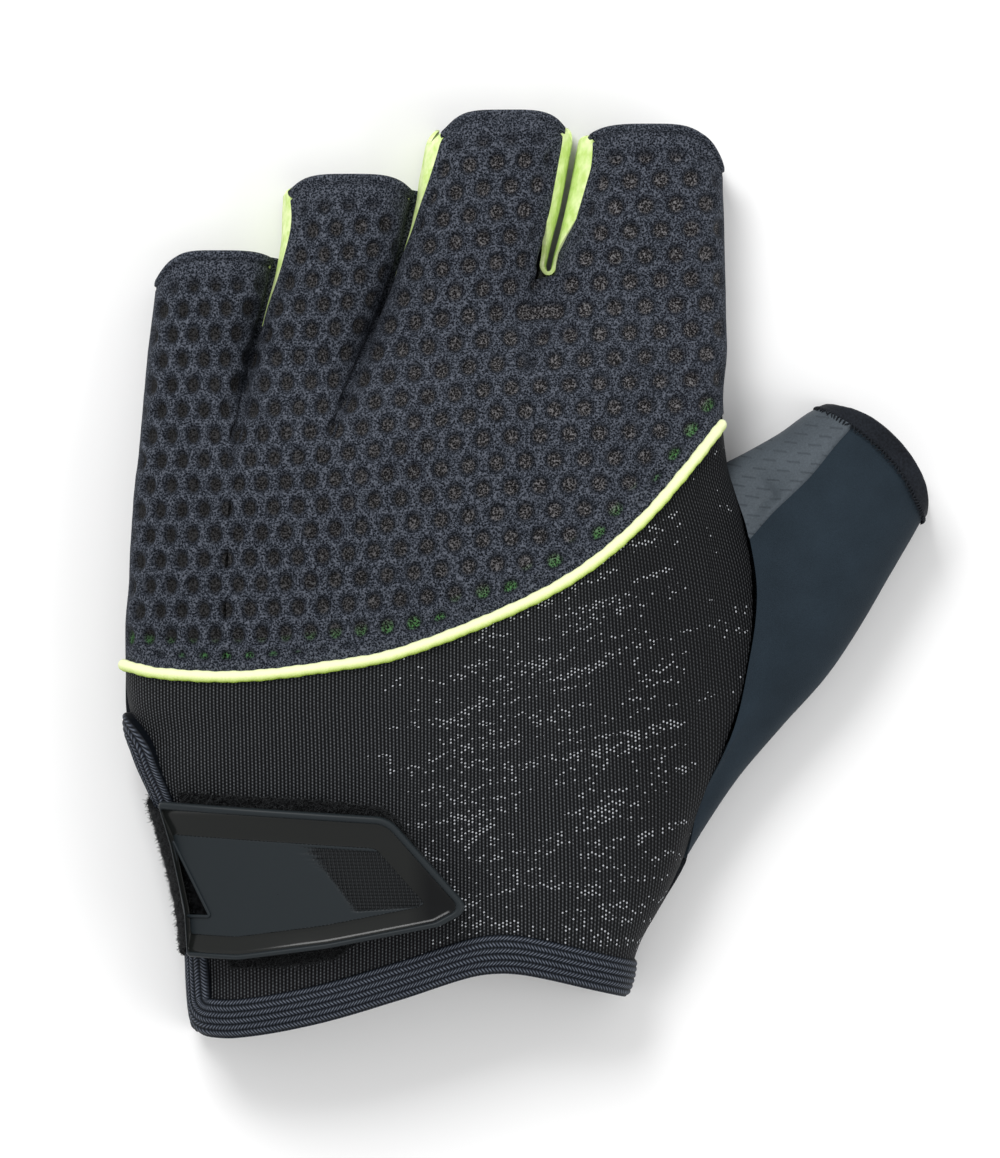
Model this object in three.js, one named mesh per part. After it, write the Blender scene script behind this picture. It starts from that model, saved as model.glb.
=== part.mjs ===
// Left-hand cycling glove with short fingers, lying palm down.
// Millimetres, +Z up, +Y towards the fingertips, +X towards the thumb.
import * as THREE from 'three';

// Overall form
const gloveLength = 166.4;
const palmWidth = 108;
const knuckleHeight = 30;
const fingerHeight = 20;
const thumbHeight = 19;
const thumbSeamHeight = 18.5;

// Walls
const meshWall = 2.2;
const knitWall = 1.3;
const palmWall = 1.4;
const gussetWall = 1.0;
const suedeWall = 1.3;
const patchWall = 1.5;
const hemWall = 1.9;

// Trim
const seamGap = 0.3;
const seamEase = 0.2;
const fingerGap = 1.0;
const fingertipSpread = 0.6;
const crotchRadius = 1.0;
const crotchBackTuck = 17;
const crotchPalmTuck = 10;
const crotchTuckStart = 0.6;
const pipingWidth = 2.1;
const pipingProud = 0.8;
const pipingDepth = 1.0;
const bindingWidth = 6.7;
const edgeRise = 0.1;
const bindingProud = 0.8;
const bindingDepth = 1.7;
const slitGap = 1.6;
const slitTop = 49.6;
const slitCorner = 4.6;
const slitEase = 1.5;
const slitEaseShare = 0.25;
const slitClearance = 0.7;
const slitPalmClearance = 0.9;
const thumbHemWidth = 4.4;
const thumbTipBulge = 2.6;

// Strap
const loopPatchThickness = 0.8;
const strapBaseThickness = 1.0;
const tabThickness = 2.2;
const tabLipWidth = 1.3;
const tabLipHeight = 0.5;
const tabChannelWidth = 4.0;
const tabFieldDrop = 0.7;

// Shape of the sections
const topRoundness = 2.4;
const bottomRoundness = 4;
const widestShare = 0.42;
const widestTurn = 0.9999;
const fingerWidestShare = 0.45;
const floorSink = 1.0;
const sideSeamAngle = 15;
const palmRise = 1.6;

// Search for a point on a line
const lineSteps = 9;
const lineTolerance = 1e-7;

const DEG = Math.PI / 180;
const seamAngle = sideSeamAngle * DEG;

// Outline of the hand without the thumb: y as a share of the glove length, left and right of the palm width
const outline = [
  { y: 0.000, left: -0.394, right: 0.320 },
  { y: 0.048, left: -0.400, right: 0.328 },
  { y: 0.102, left: -0.404, right: 0.352 },
  { y: 0.144, left: -0.412, right: 0.389 },
  { y: 0.192, left: -0.429, right: 0.430 },
  { y: 0.252, left: -0.456, right: 0.449 },
  { y: 0.300, left: -0.488, right: 0.485 },
  { y: 0.343, left: -0.506, right: 0.510 },
  { y: 0.397, left: -0.508, right: 0.528 },
  { y: 0.475, left: -0.504, right: 0.544 },
  { y: 0.541, left: -0.498, right: 0.531 },
  { y: 0.583, left: -0.494, right: 0.511 },
  { y: 0.619, left: -0.488, right: 0.496 },
  { y: 0.673, left: -0.481, right: 0.488 },
  { y: 0.745, left: -0.471, right: 0.494 },
  { y: 0.829, left: -0.456, right: 0.492 },
  { y: 0.962, left: -0.449, right: 0.488 },
];

// Crown line of the back: x is a share of the palm width, height of the knuckle height
const crown = [
  { y: 0.00, x: -0.037, height: 0.79 },
  { y: 0.10, x: -0.032, height: 0.84 },
  { y: 0.25, x: -0.010, height: 0.92 },
  { y: 0.42, x: 0.008, height: 0.99 },
  { y: 0.60, x: 0.010, height: 1.00 },
  { y: 0.72, x: 0.010, height: 0.94 },
  { y: 0.84, x: 0.010, height: 0.80 },
];

// Lines between the fingers, from the knuckles to the tips
const fingerLines = [
  [
    { y: 0.000, x: -0.250 },
    { y: 0.350, x: -0.335 },
    { y: 0.601, x: -0.329 },
    { y: 0.748, x: -0.292 },
    { y: 0.844, x: -0.257 },
    { y: 0.913, x: -0.250 },
  ],
  [
    { y: 0.000, x: -0.060 },
    { y: 0.350, x: -0.170 },
    { y: 0.601, x: -0.181 },
    { y: 0.697, x: -0.137 },
    { y: 0.780, x: -0.086 },
    { y: 0.867, x: -0.041 },
    { y: 0.962, x: -0.013 },
  ],
  [
    { y: 0.000, x: 0.120 },
    { y: 0.350, x: 0.135 },
    { y: 0.601, x: 0.144 },
    { y: 0.820, x: 0.194 },
    { y: 0.900, x: 0.223 },
    { y: 0.969, x: 0.243 },
  ],
];

// Where each crease between the fingers starts and how far it runs to the wrist; the outer two are the sides
const creases = [
  { crotch: 0.735, run: 0.16 },
  { crotch: 0.748, run: 0.16 },
  { crotch: 0.780, run: 0.17 },
  { crotch: 0.820, run: 0.13 },
  { crotch: 0.825, run: 0.13 },
];
const crotchAtCentre = 0.791;
const crotchSlope = 0.229;

// Fingers from little to index: tip and drops as shares of the glove length, height of the finger height
const fingers = [
  { tip: 0.849, dropLeft: 0.030, dropRight: 0.007, height: 0.92 },
  { tip: 0.931, dropLeft: 0.020, dropRight: 0.016, height: 1.00 },
  { tip: 1.000, dropLeft: 0.034, dropRight: 0.031, height: 1.05 },
  { tip: 0.985, dropLeft: 0.013, dropRight: 0.042, height: 1.02 },
];
const fingertipTaper = 0.94;

// Angle of the gusset's back edge on a finger's left side, from the crotch (0) to the tip (1)
const gussetEdges = [
  [
    { y: 0.0, angle: 14 },
    { y: 0.4, angle: 27 },
    { y: 1.0, angle: 35 },
  ],
  [
    { y: 0.0, angle: 9 },
    { y: 0.5, angle: 15 },
    { y: 1.0, angle: 35 },
  ],
  [
    { y: 0.0, angle: 28 },
    { y: 0.5, angle: 37 },
    { y: 0.85, angle: 36 },
    { y: 1.0, angle: 26 },
  ],
];
const gussetRightAngle = 10;
const gussetPalmAngle = 40;

// Piping line over the back
const pipingLine = [
  { x: -0.505, y: 0.401 },
  { x: -0.446, y: 0.393 },
  { x: -0.312, y: 0.390 },
  { x: -0.162, y: 0.401 },
  { x: -0.050, y: 0.415 },
  { x: 0.133, y: 0.461 },
  { x: 0.250, y: 0.502 },
  { x: 0.350, y: 0.556 },
  { x: 0.433, y: 0.618 },
  { x: 0.500, y: 0.676 },
];

// Wrist edge over the back
const hemLine = [
  { x: -0.400, y: 0.004 },
  { x: -0.323, y: 0.002 },
  { x: -0.187, y: 0.018 },
  { x: -0.045, y: 0.045 },
  { x: 0.065, y: 0.068 },
  { x: 0.117, y: 0.0725 },
  { x: 0.171, y: 0.069 },
  { x: 0.281, y: 0.052 },
  { x: 0.330, y: 0.044 },
];

// Thumb: its seam runs from the web to the heel, and its two edges from the seam to the tip
const thumbWeb = 0.619;
const thumbHeel = 0.192;
const thumbUpperEdge = [
  { s: 0.25, x: 0.537, y: 0.633 },
  { s: 0.50, x: 0.586, y: 0.651 },
  { s: 0.75, x: 0.634, y: 0.673 },
  { s: 1.00, x: 0.683, y: 0.688 },
];
const thumbLowerEdge = [
  { s: 0.20, x: 0.506, y: 0.270 },
  { s: 0.40, x: 0.588, y: 0.333 },
  { s: 0.60, x: 0.676, y: 0.400 },
  { s: 0.80, x: 0.764, y: 0.493 },
  { s: 1.00, x: 0.839, y: 0.580 },
];
const thumbSwell = 1.6;
const patchBackAngle = 54;
const patchPalmAngle = -36;
const heelThinning = 0.68;
const heelStart = 0.5;
const heelFade = 0.4;
const heelRows = 3;

// Strap tab outline in plan, as shares of the palm width and the glove length
const tabTop = [
  { s: 0.00, x: -0.451, y: 0.2554 },
  { s: 0.72, x: -0.085, y: 0.2404 },
  { s: 0.84, x: -0.033, y: 0.2175 },
  { s: 1.00, x: 0.050, y: 0.1580 },
];
const tabBottom = [
  { s: 0.00, x: -0.405, y: 0.0950 },
  { s: 0.10, x: -0.360, y: 0.0865 },
  { s: 0.45, x: -0.167, y: 0.0991 },
  { s: 0.65, x: -0.106, y: 0.1094 },
  { s: 0.95, x: 0.035, y: 0.1256 },
  { s: 1.00, x: 0.055, y: 0.1330 },
];
const tabStations = [0.2, 0.34, 0.5, 0.66, 0.8];
const tabEndStretch = 1.4;
const windowLow = 0.38;
const windowMiddle = 0.5;
const windowHigh = 0.76;
const windowWidth = 3.6;
const windowNarrow = 0.15;

// Pile patch outline, in the same shares
const patchTop = [
  { s: 0.00, x: -0.416, y: 0.2640 },
  { s: 0.70, x: -0.090, y: 0.2500 },
  { s: 0.85, x: -0.042, y: 0.2260 },
  { s: 1.00, x: 0.018, y: 0.1650 },
];
const patchBottom = [
  { s: 0.00, x: -0.330, y: 0.0760 },
  { s: 0.45, x: -0.167, y: 0.0860 },
  { s: 0.70, x: -0.090, y: 0.1150 },
  { s: 1.00, x: 0.032, y: 0.1350 },
];

// Strap base: low and high edge as shares of the glove length, reach round the side in millimetres
const strapLow = 0.086;
const strapHigh = 0.262;
const strapTuck = 0.018;
const strapNarrowing = 8;
const strapUnderReach = 6.5;
const strapTopReach = 26;

const lerp = (a, b, share) => a + (b - a) * share;

const clamp = (value, low, high) => Math.min(high, Math.max(low, value));

function smooth(share) {
  const t = clamp(share, 0, 1);
  return t * t * (3 - 2 * t);
}

// Smooth curve through the rows of a table, straight beyond its ends
function read(table, at, column, key = 'y') {
  const last = table.length - 1;
  const slope = (i) => {
    const a = table[Math.max(0, i - 1)];
    const b = table[Math.min(last, i + 1)];
    return (b[column] - a[column]) / (b[key] - a[key]);
  };
  if (at <= table[0][key]) return table[0][column] + slope(0) * (at - table[0][key]);
  if (at >= table[last][key]) return table[last][column] + slope(last) * (at - table[last][key]);
  let i = 0;
  while (at > table[i + 1][key]) i += 1;
  const span = table[i + 1][key] - table[i][key];
  const t = (at - table[i][key]) / span;
  const from = table[i][column] * (1 + 2 * t) * (1 - t) ** 2 + slope(i) * span * t * (1 - t) ** 2;
  const to = table[i + 1][column] * t * t * (3 - 2 * t) - slope(i + 1) * span * t * t * (1 - t);
  return from + to;
}

const leftEdge = (y) => palmWidth * read(outline, y / gloveLength, 'left');
const rightEdge = (y) => palmWidth * read(outline, y / gloveLength, 'right');
const crownX = (y) => palmWidth * read(crown, y / gloveLength, 'x');
const crownHeight = (y) => knuckleHeight * read(crown, y / gloveLength, 'height');
const pipingY = (x) => gloveLength * read(pipingLine, x / palmWidth, 'y', 'x');
const hemY = (x) => gloveLength * read(hemLine, x / palmWidth, 'y', 'x');
const crotchY = (x) => gloveLength * crotchAtCentre + crotchSlope * x;
const widest = (y) => crownHeight(y) * widestShare;

// Radius of a unit superellipse at an angle, and its height over a distance from its middle
function superRadius(angle, n) {
  return (Math.abs(Math.cos(angle)) ** n + Math.abs(Math.sin(angle)) ** n) ** (-1 / n);
}

const superRise = (offset, n) => (1 - Math.min(1, Math.abs(offset)) ** n) ** (1 / n);

// Height of the seam between back and palm along the sides
function sideSeam(y) {
  const drop = superRadius(seamAngle, bottomRoundness) * Math.sin(seamAngle);
  return widest(y) - (widest(y) + floorSink) * drop;
}

// Heights where the thumb is sewn into the hand, from the web (0) to the heel (1)
const thumbShare = (y) => (thumbWeb * gloveLength - y) / ((thumbWeb - thumbHeel) * gloveLength);

function thumbSeam(y) {
  const offset = 1 - 2 * clamp(thumbShare(y), 0, 1);
  const low = sideSeam(y);
  return {
    top: low + (thumbSeamHeight - low) * superRise(offset, topRoundness),
    bottom: Math.max(0, low - (low + floorSink) * superRise(offset, bottomRoundness)),
  };
}

// Right half of the back section: its half width and the angle where it ends at the seam
function rightHalf(y) {
  const rise = thumbSeam(y).top - widest(y);
  const above = rise >= 0;
  const n = above ? topRoundness : bottomRoundness;
  const share = rise / (above ? crownHeight(y) - widest(y) : widest(y) + floorSink);
  const reach = superRise(share, n);
  return { width: (rightEdge(y) - crownX(y)) / reach, end: Math.atan2(share, reach) };
}

// Back of the hand at a height y and an angle, from 0 at the right side to 180 degrees at the left
function backPoint(y, angle) {
  const c = Math.cos(angle);
  const s = Math.sin(angle);
  const radius = superRadius(angle, s >= 0 ? topRoundness : bottomRoundness);
  const width = c >= 0 ? rightHalf(y).width : crownX(y) - leftEdge(y);
  const height = s >= 0 ? crownHeight(y) - widest(y) : widest(y) + floorSink;
  return new THREE.Vector3(crownX(y) + width * radius * c, y, Math.max(0, widest(y) + height * radius * s));
}

// Palm side of the hand, from 180 degrees at the left seam to 360 at the right seam
function underPoint(y, angle) {
  const c = Math.cos(angle);
  const right = c >= 0;
  const edge = right ? rightEdge(y) : leftEdge(y);
  const seam = right ? thumbSeam(y).bottom : sideSeam(y);
  const radius = superRadius(angle, bottomRoundness);
  const z = seam + (seam + floorSink) * radius * Math.sin(angle);
  return new THREE.Vector3(crownX(y) + Math.abs(edge - crownX(y)) * radius * c, y, Math.max(0, z));
}

// Left and right edge of a finger
function fingerSides(finger, y) {
  const line = (i) => palmWidth * read(fingerLines[i], y / gloveLength, 'x');
  const beyond = clamp((y - crotchY(0)) / (gloveLength - crotchY(0)), 0, 1);
  const space = fingerGap + fingertipSpread * beyond;
  return {
    left: finger === 0 ? leftEdge(y) : line(finger - 1) + space / 2,
    right: finger === 3 ? rightEdge(y) : line(finger) - space / 2,
  };
}

// Share of the way from a finger's crotch to its tip
function fingerShare(finger, y) {
  const sides = fingerSides(finger, y);
  const root = crotchY((sides.left + sides.right) / 2);
  return clamp((y - root) / (fingers[finger].tip * gloveLength - root), 0, 1);
}

// Ring of a finger at any angle
function fingerPoint(finger, y, angle) {
  const { left, right } = fingerSides(finger, y);
  const c = Math.cos(angle);
  const s = Math.sin(angle);
  const top = fingerHeight * fingers[finger].height * lerp(1, fingertipTaper, fingerShare(finger, y));
  const middle = top * fingerWidestShare;
  const radius = superRadius(angle, s >= 0 ? topRoundness : bottomRoundness);
  const height = s >= 0 ? top - middle : middle + floorSink;
  const x = (left + right) / 2 + ((right - left) / 2) * radius * c;
  return new THREE.Vector3(x, y, Math.max(0, middle + height * radius * s));
}

// How far the section has turned from one hand (0) into separate fingers (1)
function fingerWeight(finger, y, angle) {
  const across = (1 + superRadius(angle, topRoundness) * Math.cos(angle)) / 2;
  const crotch = gloveLength * lerp(creases[finger].crotch, creases[finger + 1].crotch, across);
  const run = gloveLength * lerp(creases[finger].run, creases[finger + 1].run, across);
  return smooth((y - crotch + run) / run);
}

// Angle of the back or the palm side at a place across the hand
function angleAcross(y, x, back) {
  const c = x - crownX(y);
  const rightWidth = back ? rightHalf(y).width : rightEdge(y) - crownX(y);
  const share = clamp(c / (c >= 0 ? rightWidth : crownX(y) - leftEdge(y)), -widestTurn, widestTurn);
  return Math.atan2((back ? 1 : -1) * superRise(share, back ? topRoundness : bottomRoundness), share);
}

// Point of the back or the palm side, in the cell of one finger
function handPoint(finger, y, angle, back = true) {
  const onFinger = fingerPoint(finger, y, angle);
  const weight = fingerWeight(finger, y, angle);
  if (weight >= 1) return onFinger;
  const { left, right } = fingerSides(finger, y);
  const middle = angleAcross(y, (left + right) / 2, back);
  const c = Math.cos(angle);
  let onHand;
  if (finger === 0 && c < 0) {
    const turned = back ? angle - Math.PI / 2 : 1.5 * Math.PI - angle;
    const share = turned / (Math.PI / 2 + (back ? seamAngle : -seamAngle));
    onHand = lerp(middle, back ? Math.PI + seamAngle : -Math.PI, share);
  } else if (finger === 3 && c > 0) {
    const turned = back ? Math.PI / 2 - angle : angle - 1.5 * Math.PI;
    const share = turned / (Math.PI / 2 + (back ? seamAngle : -seamAngle));
    onHand = lerp(middle, back ? rightHalf(y).end : 0, share);
  } else {
    onHand = angleAcross(y, onFinger.x, back);
  }
  const hand = back ? backPoint(y, onHand) : underPoint(y, onHand);
  return hand.lerp(onFinger, weight);
}

// Tip line of a finger
function tipY(finger, angle) {
  const c = Math.cos(angle);
  const shape = fingers[finger];
  const drop = c < 0 ? shape.dropLeft : shape.dropRight;
  const across = superRadius(angle, topRoundness) * Math.abs(c);
  return gloveLength * (shape.tip - drop * across ** 4);
}

// Finds by secant steps the point whose y lies on a line given as a function of x, from a first guess of y
function onLine(pointAt, lineAt, guess) {
  let before = guess;
  let y = lineAt(pointAt(before).x);
  let missBefore = y - before;
  for (let i = 0; i < lineSteps; i += 1) {
    const miss = lineAt(pointAt(y).x) - y;
    if (Math.abs(miss) < lineTolerance || miss === missBefore) break;
    const next = y - (miss * (y - before)) / (miss - missBefore);
    before = y;
    missBefore = miss;
    y = next;
  }
  return pointAt(y);
}

// Closed sheet over a grid of surface points: kept cells get an outer and an inner face, and walls at open
// edges, which are drawn in by half the seam gap
function sheet({
  columns,
  rows,
  at,
  inner,
  outer = () => 0,
  keep = () => true,
  trim = seamGap / 2,
  ring = false,
  flip = false,
}) {
  const wrap = (i) => (ring ? (i + columns) % columns : i);
  const lastColumn = ring ? columns - 1 : columns;
  const cell = (i, j) => (ring || (i >= 0 && i < columns)) && j >= 0 && j < rows && keep(wrap(i), j);
  const step = 0.04;
  const vertices = [];
  const index = new Map();
  for (let i = 0; i <= lastColumn; i += 1) {
    for (let j = 0; j <= rows; j += 1) {
      const sw = cell(i - 1, j - 1);
      const se = cell(i, j - 1);
      const nw = cell(i - 1, j);
      const ne = cell(i, j);
      if (!(sw || se || nw || ne)) continue;
      const here = at(i, j);
      const along = at(se || ne ? i + step : i, j).sub(at(sw || nw ? i - step : i, j));
      const across = at(i, nw || ne ? j + step : j).sub(at(i, sw || se ? j - step : j));
      const normal = along.cross(across).normalize();
      if (flip) normal.negate();
      const moved = here.clone();
      const draw = (open, di, dj) => {
        if (open) moved.add(at(i + di, j + dj).sub(here).normalize().multiplyScalar(trim));
      };
      draw(!(sw || nw), step, 0);
      draw(!(se || ne), -step, 0);
      draw(!(sw || se), 0, step);
      draw(!(nw || ne), 0, -step);
      index.set(`${i},${j}`, vertices.length / 6);
      for (const depth of [outer(i, j), inner(i, j)]) {
        const p = moved.clone().addScaledVector(normal, depth);
        vertices.push(p.x, p.y, Math.max(0, p.z));
      }
    }
  }
  const out = (i, j) => index.get(`${wrap(i)},${j}`) * 2;
  const faces = [];
  const quad = (a, b, c, d) => {
    faces.push(...(flip ? [a, c, b, a, d, c] : [a, b, c, a, c, d]));
  };
  for (let i = 0; i < columns; i += 1) {
    for (let j = 0; j < rows; j += 1) {
      if (!cell(i, j)) continue;
      const corners = [out(i, j), out(i + 1, j), out(i + 1, j + 1), out(i, j + 1)];
      quad(...corners);
      quad(corners[3] + 1, corners[2] + 1, corners[1] + 1, corners[0] + 1);
      const open = [!cell(i, j - 1), !cell(i + 1, j), !cell(i, j + 1), !cell(i - 1, j)];
      open.forEach((isOpen, side) => {
        const a = corners[side];
        const b = corners[(side + 1) % 4];
        if (isOpen) quad(b, a, a + 1, b + 1);
      });
    }
  }
  const geometry = new THREE.BufferGeometry();
  geometry.setAttribute('position', new THREE.Float32BufferAttribute(vertices, 3));
  geometry.setIndex(faces);
  geometry.computeVertexNormals();
  return geometry;
}

const glove = new THREE.Group();

function addPiece(name, geometry, color, roughness) {
  const material = new THREE.MeshStandardMaterial({ color, roughness, metalness: 0 });
  const mesh = new THREE.Mesh(geometry, material);
  mesh.name = name;
  glove.add(mesh);
}

// Grid over four fingers with one cell between neighbours; the cells between fingers stop at the crotch
const fingerCells = 8;
const gridColumns = 4 * fingerCells + 3;

function fingerColumn(i) {
  const finger = clamp(Math.floor(i / (fingerCells + 1)), 0, 3);
  return { finger, share: (i - finger * (fingerCells + 1)) / fingerCells };
}

function acrossFingers(i, pointOf) {
  const { finger, share } = fingerColumn(i);
  if (share <= 1 || finger === 3) return pointOf(finger, share);
  const between = (share - 1) * fingerCells;
  return pointOf(finger, 1).lerp(pointOf(finger + 1, 0), between);
}

const betweenFingers = (i) => i % (fingerCells + 1) === fingerCells;

// Back edge of the mesh on the left and right side of each finger
function meshAngles(finger, y) {
  const gusset = finger > 0 ? read(gussetEdges[finger - 1], fingerShare(finger, y), 'angle') : -sideSeamAngle;
  const left = 180 - gusset;
  const right = finger === 3 ? -sideSeamAngle : gussetRightAngle;
  return { left: left * DEG, right: right * DEG };
}

// Edges of the strip that the piping leaves free, kept at its full width where the line slopes
function pipingEdge(x, side) {
  const slope = pipingY(x + 0.5) - pipingY(x - 0.5);
  return pipingY(x) + side * (pipingWidth / 2) * Math.hypot(1, slope);
}

// Mesh panel over the knuckles and finger backs
function backMeshPanel() {
  const handRows = 11;
  const fingerRows = 5;
  const at = (i, j) => acrossFingers(i, (finger, share) => {
    const angleAt = (y) => {
      const { left, right } = meshAngles(finger, y);
      return lerp(left, right, share);
    };
    const lineAt = (x) => {
      if (j <= handRows) return lerp(pipingEdge(x, 1) + seamEase, crotchY(x), j / handRows);
      return lerp(crotchY(x), tipY(finger, angleAt(crotchY(x))), (j - handRows) / fingerRows);
    };
    return onLine((y) => handPoint(finger, y, angleAt(y)), lineAt, gloveLength * 0.7);
  });
  return sheet({
    columns: gridColumns,
    rows: handRows + fingerRows,
    at,
    keep: (i, j) => j < handRows || !betweenFingers(i),
    inner: () => -meshWall,
  });
}

// Section round the wrist: a turn runs from the right seam over the back and the left side to the palm
function roundPoint(y, turn) {
  return turn <= Math.PI + seamAngle ? backPoint(y, turn) : underPoint(y, turn - seamAngle);
}

const seamReach = (y) => seamAngle * (widest(y) + floorSink);

// Turn at a distance from the left side line, up on the back or, if negative, down towards the palm
function turnAt(y, distance) {
  if (distance >= 0) return Math.PI - distance / (crownHeight(y) - widest(y));
  const past = -distance - seamReach(y);
  if (past > 0) return Math.PI + seamAngle + past / (sideSeam(y) + floorSink);
  return Math.PI - distance / (widest(y) + floorSink);
}

// Wrist edge all round: a little further up on the palm side
function wristY(x, under) {
  const share = clamp((x - leftEdge(0)) / (rightEdge(0) - leftEdge(0)), 0, 1);
  return hemY(x) + (under ? palmRise * Math.sin(Math.PI * share) : 0);
}

// Point at a distance from the left side line and a height over the wrist edge
function slitPoint(distance, height) {
  return onLine((y) => roundPoint(y, turnAt(y, distance)), (x) => wristY(x, false) + height, height);
}

// Distance of the panels' edge from the left side line: beside the slit's binding, then round its top
function slitReach(y, clearance) {
  const reach = slitGap / 2 + bindingWidth;
  const above = Math.max(0, y - hemY(leftEdge(0)) - slitTop);
  const share = Math.min(1, above / (reach + clearance + slitEase));
  const eased = clearance * smooth(share / slitEaseShare);
  return (reach + eased + seamReach(y)) * (1 - share ** 3) - seamReach(y);
}

const pipingCells = 28;

// Knit panel from the piping to the wrist binding
function backKnitPanel() {
  const columns = pipingCells;
  const rows = 13;
  const at = (i, j) => {
    const turnAtY = (y) => {
      const beside = Math.PI + seamAngle - turnAt(y, slitReach(y, slitClearance));
      return lerp(Math.PI + seamAngle, rightHalf(y).end, i / columns) - beside * (1 - i / columns) ** 3;
    };
    const lineAt = (x) => lerp(hemY(x) + bindingWidth, pipingEdge(x, -1) - seamEase, j / rows);
    return onLine((y) => backPoint(y, turnAtY(y)), lineAt, gloveLength * 0.3);
  };
  return sheet({ columns, rows, at, inner: () => -knitWall });
}

// Piping: a low rounded cord between the mesh and the knit
function piping() {
  const columns = pipingCells;
  const at = (i, j) => {
    const turnAtY = (y) => lerp(Math.PI + seamAngle, rightHalf(y).end, i / columns);
    return onLine((y) => backPoint(y, turnAtY(y)), (x) => pipingEdge(x, j - 1), gloveLength * 0.4);
  };
  const profile = [edgeRise, pipingProud, edgeRise];
  return sheet({ columns, rows: 2, at, outer: (i, j) => profile[j], inner: () => -pipingDepth });
}

// Palm panel, from the wrist to the fingertips
function palmPanel() {
  const handRows = 12;
  const fingerRows = 4;
  const palmSides = (finger, y) => {
    const right = finger === 3 ? 360 - sideSeamAngle : 360 - gussetPalmAngle;
    if (finger > 0) return { left: (180 + gussetPalmAngle) * DEG, right: right * DEG };
    const past = Math.max(0, slitReach(y, slitPalmClearance) - seamReach(y)) / (sideSeam(y) + floorSink);
    const { left: outside, right: inside } = fingerSides(0, y);
    const cellTurn = Math.PI + angleAcross(y, (outside + inside) / 2, false);
    const quarter = Math.PI / 2 - seamAngle;
    return { left: Math.PI + seamAngle + (past / cellTurn) * quarter, right: right * DEG };
  };
  const at = (i, j) => acrossFingers(i, (finger, share) => {
    const angleAt = (y) => {
      const { left, right } = palmSides(finger, y);
      return lerp(left, right, share);
    };
    const lineAt = (x) => {
      if (j <= handRows) return lerp(wristY(x, true) + bindingWidth + seamEase, crotchY(x), j / handRows);
      return lerp(crotchY(x), tipY(finger, angleAt(crotchY(x))), (j - handRows) / fingerRows);
    };
    return onLine((y) => handPoint(finger, y, angleAt(y), false), lineAt, gloveLength * 0.5);
  });
  return sheet({
    columns: gridColumns,
    rows: handRows + fingerRows,
    at,
    keep: (i, j) => j < handRows || !betweenFingers(i),
    inner: () => -palmWall,
    flip: true,
  });
}

// Gusset between two fingers: a strip down the side of one, round the crotch and up the side of the next
function fourchette(finger) {
  const legCells = 5;
  const turnCells = 3;
  const across = 4;
  const legPoint = (side, share, j) => {
    const onLeft = side === finger;
    const angleAt = (y) => {
      const tuck = smooth((share - crotchTuckStart) / (1 - crotchTuckStart));
      const edge = onLeft ? gussetRightAngle : read(gussetEdges[finger], fingerShare(side, y), 'angle');
      const back = edge - crotchBackTuck * tuck;
      const palm = -gussetPalmAngle + crotchPalmTuck * tuck;
      const angle = lerp(back, palm, j / across);
      return (onLeft ? angle : 180 - angle) * DEG;
    };
    const end = (x) => crotchY(x) + seamGap + gussetWall + crotchRadius;
    const lineAt = (x) => lerp(tipY(side, angleAt(gloveLength)), end(x), share);
    return onLine((y) => fingerPoint(side, y, angleAt(y)), lineAt, gloveLength * 0.9);
  };
  const at = (i, j) => {
    if (i <= legCells) return legPoint(finger, i / legCells, j);
    const past = i - legCells - turnCells;
    if (past >= 0) return legPoint(finger + 1, 1 - past / legCells, j);
    const round = (i - legCells) / turnCells;
    const point = legPoint(finger, 1, j).lerp(legPoint(finger + 1, 1, j), round);
    point.y -= crotchRadius * Math.sin(Math.PI * round);
    return point;
  };
  return sheet({ columns: 2 * legCells + turnCells, rows: across, at, inner: () => -gussetWall });
}

// Thumb surface: s runs from the seam in the hand (0) to the tip (1), the angle once round it from the web
function thumbEdgePoint(edge, start, s) {
  const rows = [{ s: 0, ...start }, ...edge];
  return { x: palmWidth * read(rows, s, 'x', 's'), y: gloveLength * read(rows, s, 'y', 's') };
}

function seamStart(y) {
  return { x: rightEdge(y * gloveLength) / palmWidth, y };
}

const upperAt = (s) => thumbEdgePoint(thumbUpperEdge, seamStart(thumbWeb), s);
const lowerAt = (s) => thumbEdgePoint(thumbLowerEdge, seamStart(thumbHeel), s);

function thumbPlan(s, t) {
  const seamY = gloveLength * lerp(thumbWeb, thumbHeel, t);
  const seam = { x: rightEdge(seamY), y: seamY };
  const upperTip = upperAt(1);
  const lowerTip = lowerAt(1);
  const outX = upperTip.y - lowerTip.y;
  const outY = lowerTip.x - upperTip.x;
  const bulge = thumbTipBulge * 4 * t * (1 - t) / Math.hypot(outX, outY);
  const tip = {
    x: lerp(upperTip.x, lowerTip.x, t) + bulge * outX,
    y: lerp(upperTip.y, lowerTip.y, t) + bulge * outY,
  };
  const upper = upperAt(s);
  const lower = lowerAt(s);
  const mixed = (axis) => {
    const upperLine = lerp(upperAt(0)[axis], upperTip[axis], s);
    const lowerLine = lerp(lowerAt(0)[axis], lowerTip[axis], s);
    return lerp(seam[axis], tip[axis], s) + lerp(upper[axis], lower[axis], t) - lerp(upperLine, lowerLine, t);
  };
  return { x: mixed('x'), y: mixed('y') };
}

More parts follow.
